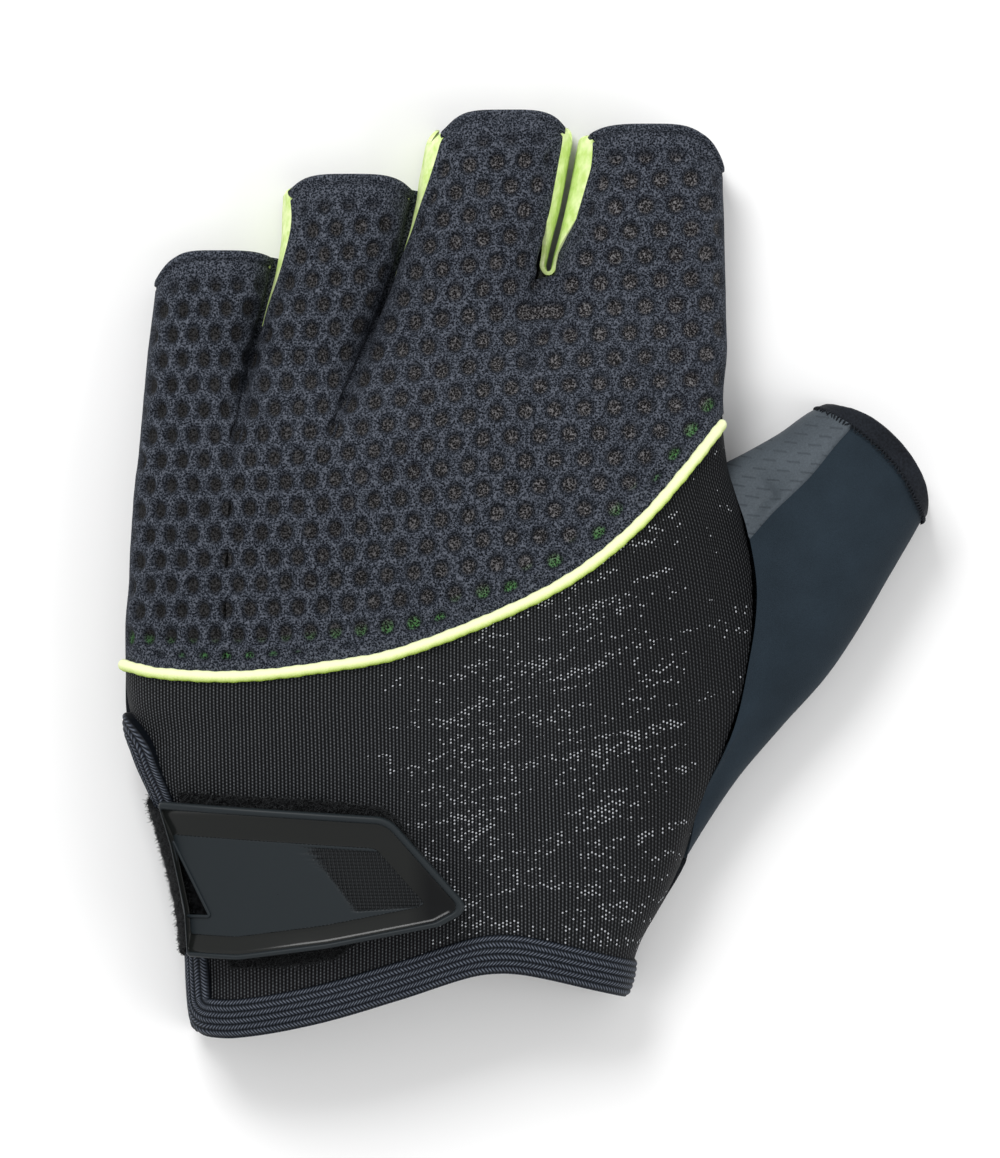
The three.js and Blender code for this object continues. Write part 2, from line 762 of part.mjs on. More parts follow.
function thumbPoint(s, angle) {
  const c = Math.cos(angle);
  const up = Math.sin(angle) >= 0;
  const radius = superRadius(angle, up ? topRoundness : bottomRoundness);
  const t = clamp((1 - radius * c) / 2, 0, 1);
  const plan = thumbPlan(s, t);
  const seamLow = sideSeam(gloveLength * lerp(thumbWeb, thumbHeel, t));
  const low = lerp(seamLow, thumbHeight * fingerWidestShare, s);
  const top = lerp(thumbSeamHeight, thumbHeight, s) + thumbSwell * Math.sin(Math.PI * s);
  const height = up ? top - low : low + floorSink;
  return new THREE.Vector3(plan.x, plan.y, Math.max(0, low + height * radius * Math.sin(angle)));
}

const thumbLength = Math.hypot(upperAt(1).x - upperAt(0).x, upperAt(1).y - upperAt(0).y);

// Where the hem starts: the heel side of the thumb is longer than its web side, so the share is larger there
function hemStart(angle) {
  const t = (1 - Math.cos(angle)) / 2;
  const near = 0.6;
  const lowerLength = Math.hypot(lowerAt(1).x - lowerAt(near).x, lowerAt(1).y - lowerAt(near).y) / (1 - near);
  return 1 - thumbHemWidth / lerp(thumbLength, lowerLength, t);
}

function thumbSheet(columns, rows, from, to, wall, hem = false) {
  const at = (i, j) => {
    const angle = lerp(from, to, i / columns) * DEG;
    const ease = seamEase / thumbLength;
    const start = hemStart(angle);
    return thumbPoint(hem ? lerp(start + ease, 1, j / rows) : lerp(2 * ease, start, j / rows), angle);
  };
  const depth = (i, j) => {
    const towardsHeel = -Math.cos(lerp(from, to, i / columns) * DEG);
    const heel = smooth((towardsHeel - heelStart) / heelFade) * smooth(1 - j / heelRows);
    return -wall * (hem ? 1 : 1 - heelThinning * heel);
  };
  return sheet({ columns, rows, at, inner: depth, ring: hem });
}

// Binding: one closed band along the wrist edge, round the corners and round the slit
function bindingStations() {
  const hemCells = 18;
  const cornerCells = 3;
  const slitCells = 5;
  const loopCells = 8;
  const half = slitGap / 2;
  const stations = [];
  const hem = (turn) => stations.push({ edge: { turn, height: 0 }, inner: { turn, height: bindingWidth } });
  const slit = (edge, inner) => stations.push({ edge, inner });
  const side = (sign) => {
    const run = [];
    for (let i = 0; i <= cornerCells; i += 1) {
      const a = (i / cornerCells) * (Math.PI / 2);
      const distance = half + slitCorner * (1 - Math.sin(a));
      run.push([
        { distance: sign * distance, height: slitCorner * (1 - Math.cos(a)) },
        { distance: sign * (half + bindingWidth), height: bindingWidth },
      ]);
    }
    for (let i = 1; i <= slitCells; i += 1) {
      const share = i / slitCells;
      run.push([
        { distance: sign * half, height: lerp(slitCorner, slitTop, share) },
        { distance: sign * (half + bindingWidth), height: lerp(bindingWidth, slitTop, share) },
      ]);
    }
    return run;
  };
  const lastTurn = turnAt(0, half + bindingWidth);
  for (let i = 0; i < hemCells; i += 1) hem(lerp(-seamAngle, lastTurn, i / (hemCells - 0.5)));
  side(1).forEach(([edge, inner]) => slit(edge, inner));
  for (let i = 1; i < loopCells; i += 1) {
    const a = Math.PI * (i / loopCells);
    const ringAt = (r) => ({ distance: r * Math.cos(a), height: slitTop + r * Math.sin(a) });
    slit(ringAt(half), ringAt(half + bindingWidth));
  }
  side(-1).reverse().forEach(([edge, inner]) => slit(edge, inner));
  const firstTurn = turnAt(0, -half - bindingWidth);
  for (let i = 0; i < hemCells; i += 1) hem(lerp(firstTurn, 2 * Math.PI + seamAngle, (i + 0.5) / hemCells));
  return stations;
}

function wristBinding() {
  const stations = bindingStations();
  const columns = stations.length;
  const rows = 3;
  const place = ({ turn, distance, height }) => {
    if (turn === undefined) return slitPoint(distance, height);
    return onLine((y) => roundPoint(y, turn), (x) => wristY(x, turn > Math.PI) + height, height);
  };
  const stationPoint = (i, share) => {
    const { edge, inner } = stations[(i + columns) % columns];
    const mix = (a, b) => (a === undefined ? undefined : lerp(a, b, share));
    return place({
      turn: mix(edge.turn, inner.turn),
      distance: mix(edge.distance, inner.distance),
      height: mix(edge.height, inner.height),
    });
  };
  const at = (i, j) => {
    const whole = Math.floor(i);
    return stationPoint(whole, j / rows).lerp(stationPoint(whole + 1, j / rows), i - whole);
  };
  const outerProfile = [edgeRise, bindingProud, bindingProud, edgeRise];
  return sheet({
    columns,
    rows,
    at,
    outer: (i, j) => outerProfile[j],
    inner: () => -bindingDepth,
    ring: true,
    flip: true,
  });
}

// Point of the back under a place in plan, for a sheet that lies at an offset over it
function underPlace(x, y, offset) {
  const e = 0.01;
  let px = x;
  let py = y;
  for (let i = 0; i < 8; i += 1) {
    const angle = angleAcross(py, px, true);
    const along = backPoint(py, angle + e).sub(backPoint(py, angle - e));
    const up = backPoint(py + e, angle).sub(backPoint(py - e, angle));
    const normal = up.cross(along).normalize();
    px = x - offset * normal.x;
    py = y - offset * normal.y;
  }
  return backPoint(py, angleAcross(py, px, true));
}

// Four-sided patch in plan between a top and a bottom line
function betweenLines(top, bottom, p, q) {
  const x = palmWidth * lerp(read(top, p, 'x', 's'), read(bottom, p, 'x', 's'), q);
  const y = gloveLength * lerp(read(top, p, 'y', 's'), read(bottom, p, 'y', 's'), q);
  return { x, y };
}

const strapBaseLift = bindingProud + 2 * seamGap;
const tabLift = strapBaseLift + strapBaseThickness + seamGap + seamEase;

// Pile patch on the knit, a little larger than the tab
function loopPatch() {
  const columns = 9;
  const rows = 5;
  const at = (i, j) => {
    const { x, y } = betweenLines(patchTop, patchBottom, i / columns, j / rows);
    return underPlace(x, y, seamGap + loopPatchThickness);
  };
  return sheet({
    columns,
    rows,
    at,
    outer: () => seamGap + loopPatchThickness,
    inner: () => seamGap,
    trim: 0,
    flip: true,
  });
}

// Strap base: wraps from beside the palm round the little-finger side to under the tab
function strapBase() {
  const columns = 9;
  const rows = 5;
  const at = (i, j) => {
    const distance = lerp(-strapUnderReach, strapTopReach, i / columns);
    const narrow = smooth(distance / strapNarrowing);
    const low = gloveLength * lerp(strapLow, strapLow + strapTuck, narrow);
    const high = gloveLength * lerp(strapHigh, strapHigh - strapTuck, narrow);
    const y = lerp(low, high, j / rows);
    return roundPoint(y, turnAt(y, distance));
  };
  const top = strapBaseLift + strapBaseThickness;
  return sheet({ columns, rows, at, outer: () => top, inner: () => strapBaseLift, trim: 0 });
}

// Moulded tab: raised lip, sloping channel and a field, with a narrow window beside its left end
function strapTab() {
  const length = palmWidth * (tabTop[3].x - tabTop[0].x);
  const width = gloveLength * (tabTop[0].y - tabBottom[0].y);
  const lip = tabLipWidth / length;
  const channel = tabChannelWidth / length;
  const lipAcross = tabLipWidth / width;
  const channelAcross = tabChannelWidth / width;
  const across = [
    0,
    lipAcross,
    lipAcross + channelAcross,
    windowLow,
    windowMiddle,
    windowHigh,
    1 - lipAcross - channelAcross,
    1 - lipAcross,
    1,
  ];
  const windowRight = (q) => {
    const share = (q - windowLow) / (windowHigh - windowLow);
    return lip + (windowWidth / length) * clamp(share, windowNarrow, 1);
  };
  const lengthwise = (q) => [
    0,
    lip,
    windowRight(q),
    ...tabStations,
    1 - tabEndStretch * (lip + channel),
    1 - tabEndStretch * lip,
    1,
  ];
  const between = (list, i) => {
    const whole = clamp(Math.floor(i), 0, list.length - 2);
    return lerp(list[whole], list[whole + 1], i - whole);
  };
  const columns = lengthwise(0).length - 1;
  const rows = across.length - 1;
  const at = (i, j) => {
    const q = between(across, j);
    const { x, y } = betweenLines(tabTop, tabBottom, between(lengthwise(q), i), q);
    return underPlace(x, y, tabLift + tabThickness);
  };
  const outer = (i, j) => {
    const fromEdge = Math.min(i + 2, columns - i, j, rows - j);
    const steps = [tabLipHeight, tabLipHeight, -tabFieldDrop];
    return tabLift + tabThickness + steps[Math.min(2, fromEdge)];
  };
  const windowCell = (i, j) => i === 1 && j >= 3 && j < 5;
  return sheet({
    columns,
    rows,
    at,
    outer,
    inner: () => tabLift,
    keep: (i, j) => !windowCell(i, j),
    trim: 0,
    flip: true,
  });
}

addPiece('back_mesh_panel', backMeshPanel(), 0x24272f, 0.85);
addPiece('back_knit_panel', backKnitPanel(), 0x17181b, 0.8);
addPiece('piping', piping(), 0xd2f04a, 0.5);
addPiece('palm_panel', palmPanel(), 0x1e2024, 0.9);
addPiece('fourchette_little_ring', fourchette(0), 0xa9e63c, 0.7);
addPiece('fourchette_ring_middle', fourchette(1), 0xa9e63c, 0.7);
addPiece('fourchette_middle_index', fourchette(2), 0xa9e63c, 0.7);
addPiece('thumb_patch', thumbSheet(5, 6, patchPalmAngle, patchBackAngle, patchWall), 0x50535a, 0.55);
addPiece('thumb_panel', thumbSheet(15, 7, patchBackAngle, 360 + patchPalmAngle, suedeWall), 0x2b2f36, 0.9);
addPiece('thumb_hem', thumbSheet(20, 2, 0, 360, hemWall, true), 0x26292f, 0.85);
addPiece('wrist_binding', wristBinding(), 0x1d2433, 0.75);
addPiece('loop_patch', loopPatch(), 0x121315, 0.95);
addPiece('strap_base', strapBase(), 0x141517, 0.95);
addPiece('strap_tab', strapTab(), 0x2d3134, 0.4);

const box = new THREE.Box3().setFromObject(glove);
const centre = box.getCenter(new THREE.Vector3());
glove.children.forEach((mesh) => {
  mesh.position.set(-centre.x, -centre.y, -box.min.z);
});

export default glove;
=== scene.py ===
import math

import bpy
import numpy as np
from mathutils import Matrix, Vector


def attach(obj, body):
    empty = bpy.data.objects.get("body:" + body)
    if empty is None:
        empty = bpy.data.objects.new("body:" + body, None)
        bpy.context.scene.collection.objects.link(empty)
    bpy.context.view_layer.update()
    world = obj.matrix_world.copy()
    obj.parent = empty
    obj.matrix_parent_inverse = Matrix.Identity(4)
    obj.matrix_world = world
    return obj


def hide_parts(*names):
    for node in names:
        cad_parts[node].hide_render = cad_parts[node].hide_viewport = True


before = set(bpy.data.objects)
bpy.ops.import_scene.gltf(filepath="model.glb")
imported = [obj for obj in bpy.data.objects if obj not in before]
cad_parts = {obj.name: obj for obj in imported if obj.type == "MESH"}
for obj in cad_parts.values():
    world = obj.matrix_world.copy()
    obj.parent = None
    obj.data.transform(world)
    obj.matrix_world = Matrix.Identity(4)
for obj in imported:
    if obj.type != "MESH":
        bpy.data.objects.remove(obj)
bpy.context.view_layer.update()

# Camera: long lens straight above, millimetres turned into metres
MM = 0.001
FULL_TURN = 2 * math.pi
VIEW_CENTRE = (-4.84, -1.06)
VIEW_HEIGHT = 208.4
VIEW_PLANE = 12.0
CAMERA_DISTANCE = 1600.0
SENSOR = 36.0

camera_data = bpy.data.cameras.new("camera")
camera_data.sensor_width = SENSOR
camera_data.lens = SENSOR * CAMERA_DISTANCE / VIEW_HEIGHT
camera = bpy.data.objects.new("camera", camera_data)
camera.location = (VIEW_CENTRE[0] * MM, VIEW_CENTRE[1] * MM, (VIEW_PLANE + CAMERA_DISTANCE) * MM)
bpy.context.scene.collection.objects.link(camera)
bpy.context.scene.camera = camera

# Hand frame of the section model, in millimetres, and its shift to the CAD frame
FRAME_SHIFT = (-17.442, -83.324)
GLOVE_LENGTH = 166.4
PALM_WIDTH = 108.0
KNUCKLE_HEIGHT = 30.0
FINGER_HEIGHT = 20.0
THUMB_HEIGHT = 19.0
THUMB_SEAM_HEIGHT = 18.5
SEAM_GAP = 0.3
FINGER_GAP = 0.5
FINGERTIP_SPREAD = 0.2
CROTCH_RADIUS = 1.0
CROTCH_BACK_TUCK = 17
CROTCH_PALM_TUCK = 10
CROTCH_TUCK_START = 0.6
GUSSET_WALL = 1.0
PIPING_WIDTH = 2.1
BINDING_WIDTH = 6.7
SLIT_GAP = 1.6
SLIT_TOP = 49.6
SLIT_CORNER = 6.2
SLIT_EASE = 1.5
SLIT_EASE_SHARE = 0.25
THUMB_HEM_WIDTH = 4.4
THUMB_TIP_BULGE = 2.6
TOP_ROUNDNESS = 2.4
BOTTOM_ROUNDNESS = 4.0
WIDEST_SHARE = 0.42
WIDEST_TURN = 0.9999
FINGER_WIDEST_SHARE = 0.45
FLOOR_SINK = 1.0
SEAM_ANGLE = math.radians(15)
PALM_RISE = 1.6
PALM_TIP_DROP = 0.9
CROTCH_AT_CENTRE = 0.791
CROTCH_SLOPE = 0.229
FINGERTIP_TAPER = 0.94
GUSSET_RIGHT_ANGLES = (10, 10, 34)
GUSSET_PALM_ANGLE = 40
THUMB_WEB = 0.619
THUMB_HEEL = 0.192
THUMB_SWELL = 1.6
PATCH_BACK_ANGLE = 54
PATCH_PALM_ANGLE = -36


def table(names, *rows):
    return dict(zip(names.split(), np.array(rows, float).T))


OUTLINE = table(
    "y left right",
    (0.000, -0.394, 0.320),
    (0.048, -0.400, 0.328),
    (0.102, -0.404, 0.352),
    (0.144, -0.412, 0.389),
    (0.192, -0.429, 0.430),
    (0.252, -0.456, 0.449),
    (0.300, -0.488, 0.485),
    (0.343, -0.506, 0.510),
    (0.397, -0.508, 0.528),
    (0.475, -0.504, 0.544),
    (0.541, -0.498, 0.531),
    (0.583, -0.494, 0.511),
    (0.619, -0.488, 0.496),
    (0.673, -0.481, 0.488),
    (0.745, -0.471, 0.494),
    (0.829, -0.456, 0.492),
    (0.962, -0.449, 0.488),
)
CROWN = table(
    "y x height",
    (0.00, -0.037, 0.79),
    (0.10, -0.032, 0.84),
    (0.25, -0.010, 0.92),
    (0.42, 0.008, 0.99),
    (0.60, 0.010, 1.00),
    (0.72, 0.010, 0.94),
    (0.84, 0.010, 0.80),
)
FINGER_LINES = (
    table(
        "y x",
        (0.000, -0.250),
        (0.350, -0.335),
        (0.601, -0.329),
        (0.748, -0.292),
        (0.844, -0.257),
        (0.913, -0.250),
    ),
    table(
        "y x",
        (0.000, -0.060),
        (0.350, -0.170),
        (0.601, -0.181),
        (0.697, -0.137),
        (0.780, -0.086),
        (0.867, -0.041),
        (0.962, -0.013),
    ),
    table(
        "y x",
        (0.000, 0.120),
        (0.350, 0.135),
        (0.601, 0.144),
        (0.820, 0.194),
        (0.900, 0.223),
        (0.969, 0.243),
    ),
)
CREASES = table("crotch run", (0.735, 0.16), (0.748, 0.16), (0.780, 0.17), (0.820, 0.13), (0.825, 0.13))
FINGERS = table(
    "tip drop_left drop_right height",
    (0.849, 0.030, 0.007, 0.92),
    (0.931, 0.020, 0.016, 1.00),
    (1.000, 0.034, 0.031, 1.05),
    (0.985, 0.013, 0.042, 1.02),
)
GUSSET_EDGES = (
    table("y angle", (0.0, 16), (0.4, 28), (0.7, 36), (1.0, 22)),
    table("y angle", (0.0, 10), (0.35, 20), (0.6, 34), (0.85, 40), (1.0, 30)),
    table("y angle", (0.0, 30), (0.5, 40), (0.85, 38), (1.0, 28)),
)
PIPING_LINE = table(
    "x y",
    (-0.505, 0.401),
    (-0.446, 0.393),
    (-0.312, 0.390),
    (-0.162, 0.401),
    (-0.050, 0.415),
    (0.133, 0.461),
    (0.250, 0.502),
    (0.350, 0.556),
    (0.433, 0.618),
    (0.500, 0.676),
)
HEM_LINE = table(
    "x y",
    (-0.400, 0.004),
    (-0.323, 0.002),
    (-0.187, 0.018),
    (-0.045, 0.045),
    (0.065, 0.068),
    (0.117, 0.0725),
    (0.171, 0.069),
    (0.281, 0.052),
    (0.330, 0.044),
)
THUMB_UPPER = table(
    "s x y",
    (0.25, 0.537, 0.633),
    (0.50, 0.586, 0.651),
    (0.75, 0.634, 0.673),
    (1.00, 0.683, 0.688),
)
THUMB_LOWER = table(
    "s x y",
    (0.2, 0.506, 0.270),
    (0.4, 0.588, 0.333),
    (0.6, 0.676, 0.400),
    (0.8, 0.764, 0.493),
    (1.0, 0.839, 0.580),
)
PATCH_TOP = table(
    "s x y",
    (0.00, -0.416, 0.264),
    (0.70, -0.090, 0.250),
    (0.85, -0.042, 0.226),
    (1.00, 0.018, 0.165),
)
PATCH_BOTTOM = table(
    "s x y",
    (0.00, -0.330, 0.076),
    (0.45, -0.167, 0.086),
    (0.70, -0.090, 0.115),
    (1.00, 0.032, 0.135),
)


def lerp(a, b, share):
    return a + (b - a) * share


def smooth(share):
    t = np.clip(share, 0, 1)
    return t * t * (3 - 2 * t)


def fade_in(distance, start, length):
    return smooth((distance - start) / length)


# Smooth curve through the rows of a table, straight beyond its ends
def read(rows, at, column, key="y"):
    k, v = rows[key], rows[column]
    at = np.asarray(at, float)
    slope = np.empty(len(k))
    slope[1:-1] = (v[2:] - v[:-2]) / (k[2:] - k[:-2])
    slope[0] = (v[1] - v[0]) / (k[1] - k[0])
    slope[-1] = (v[-1] - v[-2]) / (k[-1] - k[-2])
    i = np.clip(np.searchsorted(k, at, side="right") - 1, 0, len(k) - 2)
    span = k[i + 1] - k[i]
    t = (at - k[i]) / span
    inside = v[i] * (1 + 2 * t) * (1 - t) ** 2 + slope[i] * span * t * (1 - t) ** 2
    inside = inside + v[i + 1] * t * t * (3 - 2 * t) - slope[i + 1] * span * t * t * (1 - t)
    below = v[0] + slope[0] * (at - k[0])
    beyond = v[-1] + slope[-1] * (at - k[-1])
    return np.where(at <= k[0], below, np.where(at >= k[-1], beyond, inside))


def left_edge(y):
    return PALM_WIDTH * read(OUTLINE, y / GLOVE_LENGTH, "left")


def right_edge(y):
    return PALM_WIDTH * read(OUTLINE, y / GLOVE_LENGTH, "right")


def crown_x(y):
    return PALM_WIDTH * read(CROWN, y / GLOVE_LENGTH, "x")


def crown_height(y):
    return KNUCKLE_HEIGHT * read(CROWN, y / GLOVE_LENGTH, "height")


def piping_y(x):
    return GLOVE_LENGTH * read(PIPING_LINE, x / PALM_WIDTH, "y", "x")


def hem_y(x):
    return GLOVE_LENGTH * read(HEM_LINE, x / PALM_WIDTH, "y", "x")


def crotch_y(x):
    return GLOVE_LENGTH * CROTCH_AT_CENTRE + CROTCH_SLOPE * x


def widest(y):
    return crown_height(y) * WIDEST_SHARE


def super_radius(angle, n):
    return (np.abs(np.cos(angle)) ** n + np.abs(np.sin(angle)) ** n) ** (-1 / n)


def super_rise(offset, n):
    return (1 - np.minimum(1, np.abs(offset)) ** n) ** (1 / n)


def point(x, y, z):
    x, y, z = np.broadcast_arrays(x, y, np.maximum(0, z))
    return np.stack([x, y, z], axis=-1)


def side_seam(y):
    drop = super_radius(SEAM_ANGLE, BOTTOM_ROUNDNESS) * math.sin(SEAM_ANGLE)
    return widest(y) - (widest(y) + FLOOR_SINK) * drop


def thumb_seam(y):
    share = (THUMB_WEB * GLOVE_LENGTH - y) / ((THUMB_WEB - THUMB_HEEL) * GLOVE_LENGTH)
    offset = 1 - 2 * np.clip(share, 0, 1)
    low = side_seam(y)
    top = low + (THUMB_SEAM_HEIGHT - low) * super_rise(offset, TOP_ROUNDNESS)
    return top, np.maximum(0, low - (low + FLOOR_SINK) * super_rise(offset, BOTTOM_ROUNDNESS))


def right_half(y):
    rise = thumb_seam(y)[0] - widest(y)
    above = rise >= 0
    n = np.where(above, TOP_ROUNDNESS, BOTTOM_ROUNDNESS)
    share = rise / np.where(above, crown_height(y) - widest(y), widest(y) + FLOOR_SINK)
    reach = super_rise(share, n)
    return (right_edge(y) - crown_x(y)) / reach, np.arctan2(share, reach)


def back_point(y, angle):
    c, s = np.cos(angle), np.sin(angle)
    radius = super_radius(angle, np.where(s >= 0, TOP_ROUNDNESS, BOTTOM_ROUNDNESS))
    width = np.where(c >= 0, right_half(y)[0], crown_x(y) - left_edge(y))
    height = np.where(s >= 0, crown_height(y) - widest(y), widest(y) + FLOOR_SINK)
    return point(crown_x(y) + width * radius * c, y, widest(y) + height * radius * s)


def under_point(y, angle):
    c = np.cos(angle)
    edge = np.where(c >= 0, right_edge(y), left_edge(y))
    seam = np.where(c >= 0, thumb_seam(y)[1], side_seam(y))
    radius = super_radius(angle, BOTTOM_ROUNDNESS)
    z = seam + (seam + FLOOR_SINK) * radius * np.sin(angle)
    return point(crown_x(y) + np.abs(edge - crown_x(y)) * radius * c, y, z)


def finger_sides(finger, y):
    beyond = np.clip((y - crotch_y(0)) / (GLOVE_LENGTH - crotch_y(0)), 0, 1)
    half = (FINGER_GAP + FINGERTIP_SPREAD * beyond) / 2
    lines = [PALM_WIDTH * read(line, y / GLOVE_LENGTH, "x") for line in FINGER_LINES]
    left = left_edge(y) if finger == 0 else lines[finger - 1] + half
    right = right_edge(y) if finger == 3 else lines[finger] - half
    return left, right


def finger_share(finger, y):
    left, right = finger_sides(finger, y)
    root = crotch_y((left + right) / 2)
    return np.clip((y - root) / (FINGERS["tip"][finger] * GLOVE_LENGTH - root), 0, 1)


def finger_point(finger, y, angle):
    left, right = finger_sides(finger, y)
    c, s = np.cos(angle), np.sin(angle)
    top = FINGER_HEIGHT * FINGERS["height"][finger] * lerp(1, FINGERTIP_TAPER, finger_share(finger, y))
    middle = top * FINGER_WIDEST_SHARE
    radius = super_radius(angle, np.where(s >= 0, TOP_ROUNDNESS, BOTTOM_ROUNDNESS))
    height = np.where(s >= 0, top - middle, middle + FLOOR_SINK)
    return point((left + right) / 2 + (right - left) / 2 * radius * c, y, middle + height * radius * s)


def finger_weight(finger, y, angle):
    across = (1 + super_radius(angle, TOP_ROUNDNESS) * np.cos(angle)) / 2
    crotch = GLOVE_LENGTH * lerp(CREASES["crotch"][finger], CREASES["crotch"][finger + 1], across)
    run = GLOVE_LENGTH * lerp(CREASES["run"][finger], CREASES["run"][finger + 1], across)
    return smooth((y - crotch + run) / run)


def angle_across(y, x, back):
    c = x - crown_x(y)
    right_width = right_half(y)[0] if back else right_edge(y) - crown_x(y)
    share = np.clip(c / np.where(c >= 0, right_width, crown_x(y) - left_edge(y)), -WIDEST_TURN, WIDEST_TURN)
    rise = super_rise(share, TOP_ROUNDNESS if back else BOTTOM_ROUNDNESS)
    return np.arctan2(rise if back else -rise, share)


def hand_point(finger, y, angle, back=True):
    on_finger = finger_point(finger, y, angle)
    weight = finger_weight(finger, y, angle)[..., None]
    left, right = finger_sides(finger, y)
    middle = angle_across(y, (left + right) / 2, back)
    c = np.cos(angle)
    on_hand = angle_across(y, on_finger[..., 0], back)
    quarter = math.pi / 2 + (SEAM_ANGLE if back else -SEAM_ANGLE)
    if finger == 0:
        turned = angle - math.pi / 2 if back else 1.5 * math.pi - angle
        end = math.pi + SEAM_ANGLE if back else -math.pi
        on_hand = np.where(c < 0, lerp(middle, end, turned / quarter), on_hand)
    if finger == 3:
        turned = math.pi / 2 - angle if back else angle - 1.5 * math.pi
        end = -SEAM_ANGLE if back else 0
        on_hand = np.where(c > 0, lerp(middle, end, turned / quarter), on_hand)
    hand = back_point(y, on_hand) if back else under_point(y, on_hand)
    return lerp(hand, on_finger, weight)


def tip_y(finger, angle, back=True):
    c = np.cos(angle)
    drop = np.where(c < 0, FINGERS["drop_left"][finger], FINGERS["drop_right"][finger])
    across = super_radius(angle, TOP_ROUNDNESS if back else BOTTOM_ROUNDNESS) * np.abs(c)
    short = 0 if back else PALM_TIP_DROP
    return GLOVE_LENGTH * (FINGERS["tip"][finger] - drop * across**4) - short


SCAN_LOW = -4.0
SCAN_HIGH = 170.0
SCAN_STEPS = 320
SECANT_STEPS = 9
HALVINGS = 30


# Finds by secant steps the points whose y lies on a line given as a function of x
def on_line(point_at, line_at, guess):
    before = np.asarray(guess, float)
    y = line_at(point_at(before)[..., 0])
    miss_before = y - before
    for _ in range(SECANT_STEPS):
        miss = line_at(point_at(y)[..., 0]) - y
        change = miss - miss_before
        settled = (np.abs(miss) < 1e-7) | (change == 0)
        step = np.where(settled, 0, miss * (y - before) / np.where(change == 0, 1, change))
        before, miss_before, y = y, miss, y - step
    return point_at(y)


# Height in each column where a panel meets a line given as a function of x: the highest or lowest place
def meeting(point_at, line_at, highest):
    scan = np.linspace(SCAN_LOW, SCAN_HIGH, SCAN_STEPS)
    miss = scan[:, None] - line_at(point_at(scan[:, None])[..., 0])
    crossed = (miss[:-1] < 0) & (miss[1:] >= 0)
    k = len(crossed) - 1 - np.argmax(crossed[::-1], axis=0) if highest else np.argmax(crossed, axis=0)
    low, high = scan[k], scan[k + 1]
    for _ in range(HALVINGS):
        middle = (low + high) / 2
        under = middle < line_at(point_at(middle)[..., 0])
        low, high = np.where(under, middle, low), np.where(under, high, middle)
    return middle


# Meshes
def to_frame(points):
    return (points + np.array([*FRAME_SHIFT, 0.0])) * MM


def unit(vector):
    return vector / np.linalg.norm(vector, axis=-1, keepdims=True)


def above_floor(points):
    raised = points * 1.0
    raised[..., 2] = np.maximum(raised[..., 2], 0)
    return raised


def normals(points, flip=False, ring=False):
    padded = np.concatenate([points[-1:], points, points[:1]]) if ring else points
    along = np.gradient(padded, axis=0)
    across = np.gradient(padded, axis=1)
    if ring:
        along, across = along[1:-1], across[1:-1]
    n = np.cross(along, across)
    n /= np.maximum(np.linalg.norm(n, axis=-1, keepdims=True), 1e-12)
    return -n if flip else n


# Distance along a grid's columns or rows from its first point, in millimetres
def run_length(points, axis):
    steps = np.linalg.norm(np.diff(points, axis=axis), axis=-1)
    lead = np.zeros_like(np.take(steps, [0], axis=axis))
    return np.concatenate([lead, np.cumsum(steps, axis=axis)], axis=axis)


# Drop of a rounded edge at a distance from it
def roll(distance, radius):
    return radius * (np.sqrt(1 - (1 - np.clip(distance / radius, 0, 1)) ** 2) - 1)


def grid_faces(columns, rows, keep=None, ring=False, flip=False, start=0):
    index = np.arange(columns * rows).reshape(columns, rows) + start
    if ring:
        index = np.concatenate([index, index[:1]])
    quads = np.stack([index[:-1, :-1], index[1:, :-1], index[1:, 1:], index[:-1, 1:]], axis=-1)
    if flip:
        quads = quads[..., ::-1]
    quads = quads.reshape(-1, 4)
    return quads if keep is None else quads[keep.reshape(-1)]


